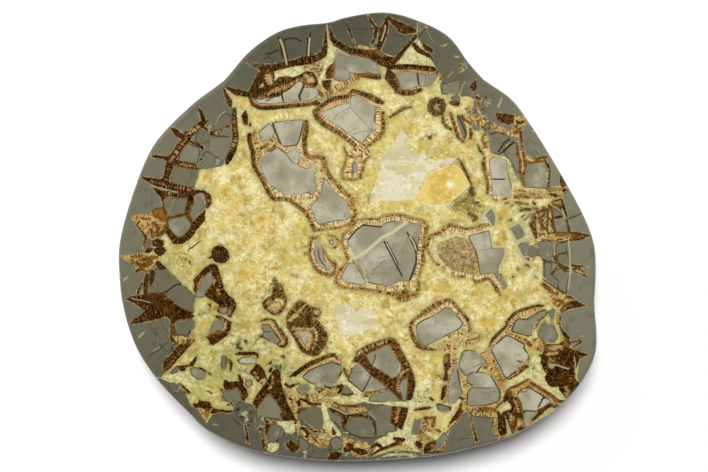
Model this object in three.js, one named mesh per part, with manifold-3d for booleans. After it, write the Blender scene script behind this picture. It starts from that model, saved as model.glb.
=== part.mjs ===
// A septarian nodule: a natural stone cut through and polished on its upper face, lying on its rounded back.
// Millimetres, +Z up. The origin is under the middle of the stone, on the surface that it rests on.

import * as THREE from 'three';
import { mergeVertices } from 'three/addons/utils/BufferGeometryUtils.js';
import Module from 'manifold-3d';

const wasm = await Module();
wasm.setup();

// ---- Driving dimensions, in millimetres ----

// The stone seen from above, anticlockwise from its right side. A smooth closed curve runs through these
// points.
const OUTLINE = [
  [165, -6.5], [159, 11], [142.5, 42], [119.5, 79.5], [106.5, 96.5], [88, 109.5], [84.5, 113],
  [77, 121.5], [63, 140], [42, 151], [19, 157], [-9.5, 153.5], [-21, 150], [-40, 148],
  [-56.5, 143.5], [-77, 129.5], [-93.5, 110.5], [-97, 107.5], [-104.5, 102], [-114, 95], [-136, 74],
  [-145.5, 61.5], [-159, 28.5], [-168, -6], [-168, -27], [-165.5, -48.5], [-156.5, -77],
  [-141, -101], [-117.5, -125.5], [-108.5, -134.5], [-80, -148.5], [-55, -154], [-18, -157.5],
  [28, -156], [63.5, -152], [110.5, -138.5], [134, -124], [151.5, -108], [162.5, -91], [166, -80.5],
  [166.5, -67], [165, -48], [166, -27],
];
const AROUND = 168;

const FACE_EDGE = 56; // height of the polished face where its rolled edge begins
const CROWN = 4; // how far the middle of the polished face stands above that
const ROLL_WIDTH = 3;
const ROLL_DEPTH = 5;
const SIDE_FOOT = 48; // below this height the back curves in
const REST_SHARE = 0.4; // the flat resting spot, as a share of the outline
const ROUNDING = 0.75; // how much of the outline's lobes is gone at the resting spot

// The weathered back: rounded lumps with creases between them.
const LUMP_DEPTH = 5;
const LUMP_LENGTH = 74; // length of the broadest of the crossing waves that make the lumps
const LUMP_WAVES = 7;
const LUMP_SHRINK = 0.8; // each wave's length and height, as a share of the one before

// Hollows in the polished face: the mouth seen from above, and the depth.
const VUG = {
  mouth: [
    [78, 35.2], [72.1, 30.1], [67.2, 25.9], [61.6, 19.9], [65.1, 16.4], [71.4, 14.9], [75.6, 12.2],
    [79.1, 9.8], [83.3, 8.7], [84.7, 12.8], [86.1, 16.4], [88.2, 21.2], [86.1, 24.8], [82.6, 26.9],
    [81.5, 30.4], [79.9, 34],
  ],
  middle: [76.9, 21.8],
  depth: 11,
};
const POCKET = {
  mouth: [
    [-115.6, -16.2], [-118, -12.8], [-120.8, -12.2], [-124.7, -11.3], [-128.5, -13.1], [-128.9, -17.2],
    [-126.8, -20.8], [-122.2, -21.4], [-117.3, -22.6], [-114.9, -18.6],
  ],
  middle: [-121.6, -16.9],
  depth: 5.5,
};
const ABOVE_FACE = 3; // how far a cutting solid reaches above the face

// Open cracks in the polished face: the middle line seen from above, the widest opening, and the depth.
const CRACKS = [
  {
    line: [[78.5, 35.9], [76.5, 39.5], [74.5, 44.4], [71.7, 50], [69.6, 53.5]],
    width: 1.8,
    depth: 6,
  },
  {
    line: [[-119.4, -12.7], [-118.7, -9.2], [-115.6, -7.2], [-112.1, -4.3], [-110, -3.2]],
    width: 1.4,
    depth: 4,
  },
  {
    line: [[-28.3, -8.2], [-28.2, -13.1], [-26.7, -17.2], [-23.9, -20.8], [-21.8, -22.9]],
    width: 1.7,
    depth: 4,
  },
];

// Crystal crusts.
const SEAT_GAP = 0.3; // between a crust and the stone that it lines
const SUNK = 0.15; // how far a crust's cut edge lies below the polished face
const VUG_CRUST = { thickness: 1.8, crystal: 3.2, rows: 4, perRow: 13 };
const POCKET_CRUST = { thickness: 1.2, crystal: 2.4, rows: 2, perRow: 8 };

const TURN = 2 * Math.PI;

// ---- The stone's surface ----

// The outline's curve, and the middle of its box. The stone is moved so that this middle is at the origin.
const outlineCorners = OUTLINE.map(([x, y]) => new THREE.Vector3(x, y, 0));
const outlinePoints = new THREE.CatmullRomCurve3(outlineCorners, true, 'centripetal').getPoints(1440);
const boxMiddle = new THREE.Box3().setFromPoints(outlinePoints).getCenter(new THREE.Vector3());

function centred([x, y]) {
  return [x - boxMiddle.x, y - boxMiddle.y];
}

// The outline as distances from the origin, at equal steps of angle.
const outlineRadii = (() => {
  const polar = outlinePoints.slice(0, -1).map((p) => {
    const [x, y] = centred([p.x, p.y]);
    return { angle: (Math.atan2(y, x) + TURN) % TURN, radius: Math.hypot(x, y) };
  });
  polar.sort((a, b) => a.angle - b.angle);
  const last = polar[polar.length - 1];
  const first = polar[0];
  const closed = [
    { angle: last.angle - TURN, radius: last.radius },
    ...polar,
    { angle: first.angle + TURN, radius: first.radius },
  ];
  return Array.from({ length: AROUND }, (_, i) => {
    const angle = (i / AROUND) * TURN;
    const after = closed.findIndex((p) => p.angle > angle);
    const a = closed[after - 1];
    const b = closed[after];
    return THREE.MathUtils.mapLinear(angle, a.angle, b.angle, a.radius, b.radius);
  });
})();

const meanRadius = outlineRadii.reduce((sum, r) => sum + r, 0) / AROUND;

function radiusAt(angle) {
  const place = ((((angle / TURN) % 1) + 1) % 1) * AROUND;
  const i = Math.floor(place) % AROUND;
  return THREE.MathUtils.lerp(outlineRadii[i], outlineRadii[(i + 1) % AROUND], place - Math.floor(place));
}

// Height of the polished face: a shallow crown, highest in the middle.
function faceHeight(x, y) {
  const share = Math.hypot(x, y) / (radiusAt(Math.atan2(y, x)) - ROLL_WIDTH);
  return FACE_EDGE + CROWN * (1 - share * share);
}

// 0 on top of a lump of the weathered back and 1 in a crease. Waves that cross the stone in turned directions
// are added up, and the places where they cancel are the creases.
function creaseAt(x, y, z) {
  let sum = 0;
  let most = 0;
  for (let i = 0; i < LUMP_WAVES; i += 1) {
    const height = LUMP_SHRINK ** i;
    const across = 2.4 * i + 0.5;
    const down = 0.9 * i;
    const level = x * Math.cos(across) + y * Math.sin(across);
    const way = level * Math.cos(down) + z * Math.sin(down);
    sum += height * Math.sin((TURN * way) / (LUMP_LENGTH * height) + 1.7 * i);
    most += height;
  }
  return (1 - Math.min(1, Math.abs(sum) / (0.5 * most))) ** 2;
}

// One ring of the surface for each step from the middle of the face, over the edge, to the resting spot.
// Each gives the distance from the axis and the height for an angle round the stone.
function surfaceRings() {
  const rings = [];
  for (const share of [0.35, 0.65, 0.86, 1]) {
    rings.push((angle) => [share * (radiusAt(angle) - ROLL_WIDTH), FACE_EDGE + CROWN * (1 - share * share)]);
  }

  const rollSteps = 3;
  for (let i = 1; i <= rollSteps; i += 1) {
    const turn = (i / rollSteps) * (Math.PI / 2);
    const inset = ROLL_WIDTH * (1 - Math.sin(turn));
    const height = FACE_EDGE - ROLL_DEPTH * (1 - Math.cos(turn));
    rings.push((angle) => [radiusAt(angle) - inset, height]);
  }

  const backSteps = 12;
  for (let i = 0; i <= backSteps; i += 1) {
    const drop = i / backSteps; // 0 at the side's foot, 1 at the resting spot
    const turn = (1 - drop) * (Math.PI / 2);
    const share = REST_SHARE + (1 - REST_SHARE) * Math.sin(turn);
    const height = SIDE_FOOT * (1 - Math.cos(turn));
    const rounding = ROUNDING * (1 - Math.sin(turn));
    const fade = Math.min(1, 5 * drop, 4 * (1 - drop));
    rings.push((angle) => {
      const r = share * THREE.MathUtils.lerp(radiusAt(angle), meanRadius, rounding);
      const hollow = LUMP_DEPTH * fade * creaseAt(r * Math.cos(angle), r * Math.sin(angle), height);
      return [r - Math.sin(turn) * hollow, height + Math.cos(turn) * hollow];
    });
  }
  return rings;
}

// ---- Closed solids from points ----

// A closed solid from a stack of rings with the same number of points, with a point at each end of the stack.
// The rings run anticlockwise seen from above, and the stack runs from the top down.
function stackedSolid(rings, top, bottom) {
  const count = rings[0].length;
  const points = [top, ...rings.flat(), bottom];
  const index = [];
  const at = (ring, i) => 1 + ring * count + (i % count);
  const end = points.length - 1;
  for (let i = 0; i < count; i += 1) {
    index.push(0, at(0, i), at(0, i + 1));
    for (let ring = 0; ring < rings.length - 1; ring += 1) {
      index.push(at(ring, i), at(ring + 1, i), at(ring + 1, i + 1));
      index.push(at(ring, i), at(ring + 1, i + 1), at(ring, i + 1));
    }
    index.push(end, at(rings.length - 1, i + 1), at(rings.length - 1, i));
  }
  const geometry = new THREE.BufferGeometry();
  geometry.setAttribute('position', new THREE.Float32BufferAttribute(points.flat(), 3));
  geometry.setIndex(index);
  return geometry;
}

function toManifold(geometry) {
  const bare = geometry.clone();
  bare.deleteAttribute('normal');
  bare.deleteAttribute('uv');
  const merged = mergeVertices(bare, 1e-4);
  const mesh = new wasm.Mesh({
    numProp: 3,
    vertProperties: merged.attributes.position.array,
    triVerts: new Uint32Array(merged.index.array),
  });
  return new wasm.Manifold(mesh);
}

function toGeometry(manifold) {
  const mesh = manifold.getMesh();
  const geometry = new THREE.BufferGeometry();
  geometry.setAttribute('position', new THREE.Float32BufferAttribute(mesh.vertProperties, 3));
  geometry.setIndex(new THREE.Uint32BufferAttribute(mesh.triVerts, 1));
  const flat = geometry.toNonIndexed();
  flat.computeVertexNormals();
  return flat;
}

// ---- Hollows and cracks ----

function centredHollow({ mouth, middle, depth }) {
  return { mouth: mouth.map(centred), middle: centred(middle), depth };
}

const vug = centredHollow(VUG);
const pocket = centredHollow(POCKET);

// The space of a hollow: its mouth, drawn in towards its middle on the way down as the inside of a rough
// bowl. It stands straight up from the mouth, above the face.
function bowlGeometry({ mouth, middle, depth }) {
  const [mx, my] = middle;
  const ring = (share, drop) => mouth.map(([x, y], i) => {
    const wobble = drop > 0 ? 1 + 0.06 * Math.sin(2.4 * i + drop) : 1;
    const px = mx + wobble * share * (x - mx);
    const py = my + wobble * share * (y - my);
    return [px, py, faceHeight(px, py) - drop];
  });
  const rings = [ring(1, -ABOVE_FACE), ring(1, 0)];
  for (const [share, deep] of [[0.93, 0.25], [0.78, 0.55], [0.5, 0.86]]) {
    rings.push(ring(share, deep * depth));
  }
  const top = [mx, my, faceHeight(mx, my) + ABOVE_FACE];
  const bottom = [mx, my, faceHeight(mx, my) - depth];
  return stackedSolid(rings, top, bottom);
}

// A hollow's space drawn in from the stone all round and below: what its four copies, each moved by the gap
// sideways and up, have in common.
function drawnInBowl(hollow, gap) {
  const ways = [[gap, 0], [-gap, 0], [0, gap], [0, -gap]];
  const moved = ways.map(([dx, dy]) => toManifold(bowlGeometry(hollow).translate(dx, dy, gap)));
  return moved.reduce((common, bowl) => common.intersect(bowl));
}

// A round block under the polished face, as wide as a hollow and a little lower than the face.
function blockUnderFace({ mouth, middle, depth }) {
  const [mx, my] = middle;
  const reach = 1.2 * Math.max(...mouth.map(([x, y]) => Math.hypot(x - mx, y - my)));
  const steps = 16;
  const ring = (drop) => Array.from({ length: steps }, (_, i) => {
    const x = mx + reach * Math.cos((i / steps) * TURN);
    const y = my + reach * Math.sin((i / steps) * TURN);
    return [x, y, faceHeight(x, y) - drop];
  });
  const height = faceHeight(mx, my);
  const floor = 1.5 * depth;
  const top = [mx, my, height - SUNK];
  const bottom = [mx, my, height - floor];
  return toManifold(stackedSolid([ring(SUNK), ring(floor)], top, bottom));
}

// An open crack: a strip along its middle line, widest in the middle and closed at both ends, cut straight down.
function crackSolid({ line, width, depth }) {
  const places = line.map(centred);
  const curve = new THREE.CatmullRomCurve3(places.map(([x, y]) => new THREE.Vector3(x, y, 0)));
  const steps = 8;
  const left = [];
  const right = [];
  for (let i = 1; i < steps; i += 1) {
    const p = curve.getPoint(i / steps);
    const t = curve.getTangent(i / steps);
    const half = (width / 2) * Math.sin((i / steps) * Math.PI) ** 0.5;
    left.push(new THREE.Vector2(p.x - t.y * half, p.y + t.x * half));
    right.push(new THREE.Vector2(p.x + t.y * half, p.y - t.x * half));
  }
  const start = new THREE.Vector2(...places[0]);
  const end = new THREE.Vector2(...places[places.length - 1]);
  const shape = new THREE.Shape([start, ...right, end, ...left.reverse()]);
  const geometry = new THREE.ExtrudeGeometry(shape, { depth: depth + ABOVE_FACE, bevelEnabled: false });
  geometry.translate(0, 0, faceHeight(start.x, start.y) - depth);
  return toManifold(geometry);
}

// ---- The pieces ----

function stoneGeometry() {
  const rings = surfaceRings().map((ring) => Array.from({ length: AROUND }, (_, i) => {
    const angle = (i / AROUND) * TURN;
    const [r, z] = ring(angle);
    return [r * Math.cos(angle), r * Math.sin(angle), z];
  }));
  const blank = toManifold(stackedSolid(rings, [0, 0, FACE_EDGE + CROWN], [0, 0, 0]));
  const hollows = [vug, pocket].map((hollow) => toManifold(bowlGeometry(hollow)));
  const cutters = [...hollows, ...CRACKS.map(crackSolid)];
  return toGeometry(cutters.reduce((stone, cutter) => stone.subtract(cutter), blank));
}

// The same value between 0 and 1 each time for the same pair of numbers.
function scatter(i, k) {
  const wave = Math.sin(12.9898 * i + 78.233 * k) * 43758.5453;
  return wave - Math.floor(wave);
}

// A crust of calcite: a thin bowl that follows its hollow, with pointed crystals that lean in from its wall.
// Where a crystal reaches the polished face it is cut off level with the face.
function crustGeometry(hollow, { thickness, crystal, rows, perRow }) {
  const outer = drawnInBowl(hollow, SEAT_GAP).intersect(blockUnderFace(hollow));
  const inner = drawnInBowl(hollow, SEAT_GAP + thickness);
  let crust = outer.subtract(inner);
  const [mx, my] = hollow.middle;
  const up = new THREE.Vector3(0, 1, 0);
  for (let row = 0; row < rows; row += 1) {
    const level = (row + 0.5) / rows; // 0 at the mouth, 1 at the bottom
    const count = Math.max(3, Math.round(perRow * (1 - 0.6 * level)));
    for (let i = 0; i < count; i += 1) {
      const along = (i + 0.6 * scatter(i, row)) / count * hollow.mouth.length;
      const a = hollow.mouth[Math.floor(along) % hollow.mouth.length];
      const b = hollow.mouth[(Math.floor(along) + 1) % hollow.mouth.length];
      const part = along - Math.floor(along);
      const x = THREE.MathUtils.lerp(a[0], b[0], part) - mx;
      const y = THREE.MathUtils.lerp(a[1], b[1], part) - my;
      const share = 0.93 * Math.cos(level * 1.35);
      const drop = hollow.depth * (0.12 + 0.8 * level);
      const root = new THREE.Vector3(mx + share * x, my + share * y, faceHeight(mx, my) - drop);
      const size = crystal * (0.65 + 0.6 * scatter(row, i + 5));
      const lean = new THREE.Vector3(-x, -y, 0).normalize().multiplyScalar(1 - 0.75 * level);
      lean.z = 0.35 + level + 0.3 * (scatter(i, row + 9) - 0.5);
      lean.x += 0.5 * (scatter(i + 3, row) - 0.5);
      lean.y += 0.5 * (scatter(i + 7, row) - 0.5);
      lean.normalize();
      const point = new THREE.ConeGeometry(0.5 * size, 1.5 * size, 6, 1);
      point.rotateY(scatter(i, 2 * row) * TURN);
      point.applyQuaternion(new THREE.Quaternion().setFromUnitVectors(up, lean));
      point.translate(root.x, root.y, root.z);
      crust = crust.add(toManifold(point));
    }
  }
  return toGeometry(crust.intersect(outer));
}

// ---- The assembly ----

const materials = {
  stone: new THREE.MeshStandardMaterial({ color: 0xa79a6a, roughness: 0.22, metalness: 0 }),
  vugCalcite: new THREE.MeshStandardMaterial({ color: 0xd8c36a, roughness: 0.15, metalness: 0 }),
  pocketCalcite: new THREE.MeshStandardMaterial({ color: 0xc9b65a, roughness: 0.15, metalness: 0 }),
};

const nodule = new THREE.Group();

function addPiece(name, geometry, material) {
  const mesh = new THREE.Mesh(geometry, material);
  mesh.name = name;
  nodule.add(mesh);
}

addPiece('septarian_nodule', stoneGeometry(), materials.stone);
addPiece('vug_crystals', crustGeometry(vug, VUG_CRUST), materials.vugCalcite);
addPiece('pocket_crystals', crustGeometry(pocket, POCKET_CRUST), materials.pocketCalcite);

export default nodule;
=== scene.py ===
"""A cut and polished septarian nodule: grey mudstone, brown aragonite and yellow calcite in one stone.

Lengths in the traced layers are millimetres on the polished face, x to the right and y up.
"""

import math

import bpy
import numpy as np
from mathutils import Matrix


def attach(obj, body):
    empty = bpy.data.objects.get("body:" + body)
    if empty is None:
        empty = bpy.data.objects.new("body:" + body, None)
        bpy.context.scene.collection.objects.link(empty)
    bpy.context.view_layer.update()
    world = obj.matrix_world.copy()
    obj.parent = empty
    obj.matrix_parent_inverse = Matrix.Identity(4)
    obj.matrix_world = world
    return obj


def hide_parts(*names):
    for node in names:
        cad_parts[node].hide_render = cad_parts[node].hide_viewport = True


bl_info = {
    "name": "Septarian Nodule",
    "version": (1, 0, 0),
    "blender": (4, 5, 0),
    "location": "View3D > Sidebar > Nodule",
    "description": "Builds a polished septarian nodule with its crystal-lined hollows and a studio floor",
    "category": "Add Mesh",
}

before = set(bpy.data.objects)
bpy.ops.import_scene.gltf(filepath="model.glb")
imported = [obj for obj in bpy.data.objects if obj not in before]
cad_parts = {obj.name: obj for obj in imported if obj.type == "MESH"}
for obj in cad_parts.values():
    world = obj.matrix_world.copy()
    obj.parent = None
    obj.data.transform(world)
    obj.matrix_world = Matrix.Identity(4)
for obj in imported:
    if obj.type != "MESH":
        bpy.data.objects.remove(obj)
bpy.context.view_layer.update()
MM = 0.001

# ---------------------------------------------------------------- the stone's form, in millimetres

OUTLINE = """
165 -6.5  159 11  142.5 42  119.5 79.5  106.5 96.5  88 109.5  84.5 113  77 121.5  63 140  42 151
19 157  -9.5 153.5  -21 150  -40 148  -56.5 143.5  -77 129.5  -93.5 110.5  -97 107.5  -104.5 102
-114 95  -136 74  -145.5 61.5  -159 28.5  -168 -6  -168 -27  -165.5 -48.5  -156.5 -77  -141 -101
-117.5 -125.5  -108.5 -134.5  -80 -148.5  -55 -154  -18 -157.5  28 -156  63.5 -152  110.5 -138.5
134 -124  151.5 -108  162.5 -91  166 -80.5  166.5 -67  165 -48  166 -27
"""
OUTLINE_STEPS = 1440
OUTLINE_MIDDLE = (-0.982, -0.264)  # the middle of the outline's box, which lies at the origin
EYE = (-3.52, 0.25, 1222.2)  # where the traced lengths were seen from, at the scale of the rim
RIM_HEIGHT = 52
EDGE_POLISHED_OFF = 0.13
EDGE_TURNS = (0.34, 0.67, 1.0)  # rings of the rolled edge, as shares of its quarter turn
AROUND = 168
BACK_RINGS = 15
SIDE_FOOT = 48
REST_SHARE = 0.4
ROUNDING = 0.75
LUMP_DEPTH = 5
LUMP_LENGTH = 74
LUMP_WAVES = 7
LUMP_SHRINK = 0.8
LUMP_TURN = 2.4  # how far each wave of the back's lumps is turned from the last, in radians
LUMP_TILT = 0.9  # and how far it is tilted
ABOVE_FACE = 3
SEAT_GAP = 0.3  # between a crust and the stone that it lines
SUNK = 0.15  # how far a crust's rim lies below the polished face
CRUST_THICK = 0.8
CRUST_AROUND = 120
CRUST_ROWS = 30
CRYSTAL_WIDTH = (0.8, 2.1)
CRYSTAL_HEIGHT = (0.8, 2.6)
CRYSTAL_REACH = 5

VUG_MOUTH = """
78 35.2  72.1 30.1  67.2 25.9  61.6 19.9  65.1 16.4  71.4 14.9  75.6 12.2  79.1 9.8
83.3 8.7  84.7 12.8  86.1 16.4  88.2 21.2  86.1 24.8  82.6 26.9  81.5 30.4  79.9 34
"""
POCKET_MOUTH = """
-115.6 -16.2  -118 -12.8  -120.8 -12.2  -124.7 -11.3  -128.5 -13.1  -128.9 -17.2
-126.8 -20.8  -122.2 -21.4  -117.3 -22.6  -114.9 -18.6
"""
HOLLOWS = {
    "vug_crystals": (VUG_MOUTH, (76.9, 21.8), 11),
    "pocket_crystals": (POCKET_MOUTH, (-121.6, -16.9), 5.5),
}
HOLLOW_DOWN = (0, 0.25, 0.55, 0.86, 1)  # a hollow's rings, as shares of its depth
HOLLOW_WIDE = (1, 0.93, 0.78, 0.5, 0.02)  # and how wide each is against the mouth
HOLLOW_WOBBLE = 0.06
CRYSTALS = {"vug_crystals": 260, "pocket_crystals": 90}
FIRST_SEED = 5
# Spots that darken the crusts' crystals: partly painted shadow in the hollows' deepest corners, partly dark
# stains on the crystals.
CAVITY_SHADE_AND_STAIN = """
78.6 32.4 3.2  79.8 29.5 2.6  76 19 1.2  77.4 15.8 1.9  79.5 14.2 2.1  81.8 12.8 2.1  80.4 11 1.4
-118.2 -18 1.3  -118 -14.6 1
"""
OPEN_CRACKS = [
    ("78.5 35.9  76.5 39.5  74.5 44.4  71.7 50  69.6 53.5", 1.8, 6),
    ("-119.4 -12.7  -118.7 -9.2  -115.6 -7.2  -112.1 -4.3  -110 -3.2", 1.4, 4),
    ("-28.3 -8.2  -28.2 -13.1  -26.7 -17.2  -23.9 -20.8  -21.8 -22.9", 1.7, 4),
]
CRACK_STEPS = 9
CRACK_FLOOR = 0.3  # how wide a crack's floor is against its mouth

# ---------------------------------------------------------------- looks that belong to places on the section

UNREACHED = -20.0  # the depth of a point that no feature of a layer reaches
BURIED = 30.0  # what a depth loses on the back, so that the section's pattern ends at the edge
SKIN_START = 2  # how far below the face the weathered skin starts to show
SKIN_FADE = 12  # and over what height it comes in
NEEDLE_SHIFT = 37.0  # moves each feature's needles on from the last one's
LINE_LAYERS = 4
LINE_REACH = 1.9
RIND_ANGLES = (-180, -135, -90, -20, 20, 60, 90, 120, 150, 180)  # in degrees round the stone
RIND_PAINTED_LIGHT = (0.7, 0.35, 0.4, 0.8, 0.9, 0.5, 0.2, 0.3, 0.65, 0.7)  # painted light and shade on the rind at each: light at the sides, where the lamps' reflection falls, dark at the top and bottom
GOLD_MIDDLE = (25, 5)  # the rims are golden round here
GOLD_REACH = (95, 85)
# a painted highlight: the white glint on the amber crystal, with its place and size
GEM_GLINT = (63.7, 36)
GEM_GLINT_SIZE = 3.4
COOL_FROM = 95  # the calcite turns greyer towards the lower left, from this far out
COOL_OVER = 60
GREEN_SHARE = 0.45
POLISH_ROUGHNESS = 0.16
SKIN_ROUGHNESS = 0.85
STONE_IOR = 1.55
FLOOR_REACH = 3000
SKY_GLOW = (0.26, 0.03)  # the studio's own light, at the horizon and overhead
SUN_SPREAD = 18  # degrees across the overhead light, which set how soft the shadow is
SUN_TURN = (-17, -3, 0)  # in degrees, from straight down
SOFTBOX_PLACE = (-0.9, 0.9, 0.9)  # in metres
SOFTBOX_TURN = (-50, -35, 0)

# ---------------------------------------------------------------- the section's pattern, in millimetres
# A layer lists its features between semicolons. A patch is the corners of its edge. A band is points of its
# middle line, each with the band's half width there. A mudstone fragment starts with its tone, from 0, dark,
# to 1, light, which holds both its own grey and painted reflection of the lamps, and a thin line with its
# width.

CALCITE_FIELD = """
-92.5,98.5 -95,104.5 -84,100.5 -77,99.5 -73,105 -68,116.5 -45,121.5 -35,123 -27,126 -23.5,131 -22.5,140
-20.5,137 -15.5,134 -10,131.5 0,130.5 13,131 17.5,128 25.5,125.5 40,141.5 44,134 58,111.5 57.5,105
58,100.5 65,99.5 70,100.5 71.5,97.5 76.5,98 80.5,96 80,91 77,88.5 78.5,84 80.5,81.5 82,77 91,71 92.5,59
102,55 106.5,45 107,41 112,39.5 115.5,34.5 131,33 132.5,34.5 146,35.5 142,26 137,25 134,21 136.5,13
137.5,3.5 150,2.5 161,0.5 156,-1.5 147,-2 138,-4 128,-2.5 125.5,-6 124.5,-12 128.5,-17 129,-28 136,-35
146,-42 158,-48.5 141,-53.5 138.5,-60 141,-67 146,-75 151,-79.5 154,-86 152.5,-99 155,-103.5 139,-121
111,-137 97,-142.5 97,-127 79,-125 75,-122.5 63.5,-135.5 61.5,-142.5 57.5,-149 48.5,-151.5 26,-149
8.5,-154.5 11,-147 10.5,-143.5 17.5,-140 21,-136.5 27.5,-137 31.5,-135.5 34.5,-128 33.5,-119.5
21.5,-119 11,-117.5 5,-115.5 -5,-117.5 -13.5,-117.5 -19.5,-116.5 -20.5,-123 -18,-131.5 -14,-137
-17.5,-141 -23,-137 -27.5,-131.5 -28.5,-121.5 -31.5,-116.5 -37,-119 -42.5,-117.5 -48.5,-112
-54.5,-103.5 -54.5,-94 -60,-94 -68,-105 -75,-117.5 -79.5,-116 -83,-107.5 -88,-106 -95,-108 -96.5,-113.5
-88.5,-117 -88,-122.5 -102,-124 -106.5,-130 -111.5,-124 -112.5,-120.5 -117.5,-118.5 -121,-111
-125.5,-104 -132,-102.5 -139.5,-99 -126.5,-76.5 -130.5,-73 -131.5,-66 -129,-60.5 -116,-57.5 -116,-42.5
-121,-36.5 -126,-33 -131,-26 -134,-23 -141,-16.5 -150,-22 -155.5,-24.5 -157.5,-19.5 -166,-15.5
-166,-14.5 -154,-11.5 -147,-12 -143.5,-7 -147,-1 -139.5,-2 -134.5,2.5 -129,-3.5 -121,-1 -114,7 -108,20
-105.5,25.5 -108.5,30.5 -113.5,32.5 -115.5,36 -115,42 -112,46.5 -107,48 -101.5,48 -96,49 -91.5,53.5
-87.5,62 -86,69 -87,80 -89,88.5
"""
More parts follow.
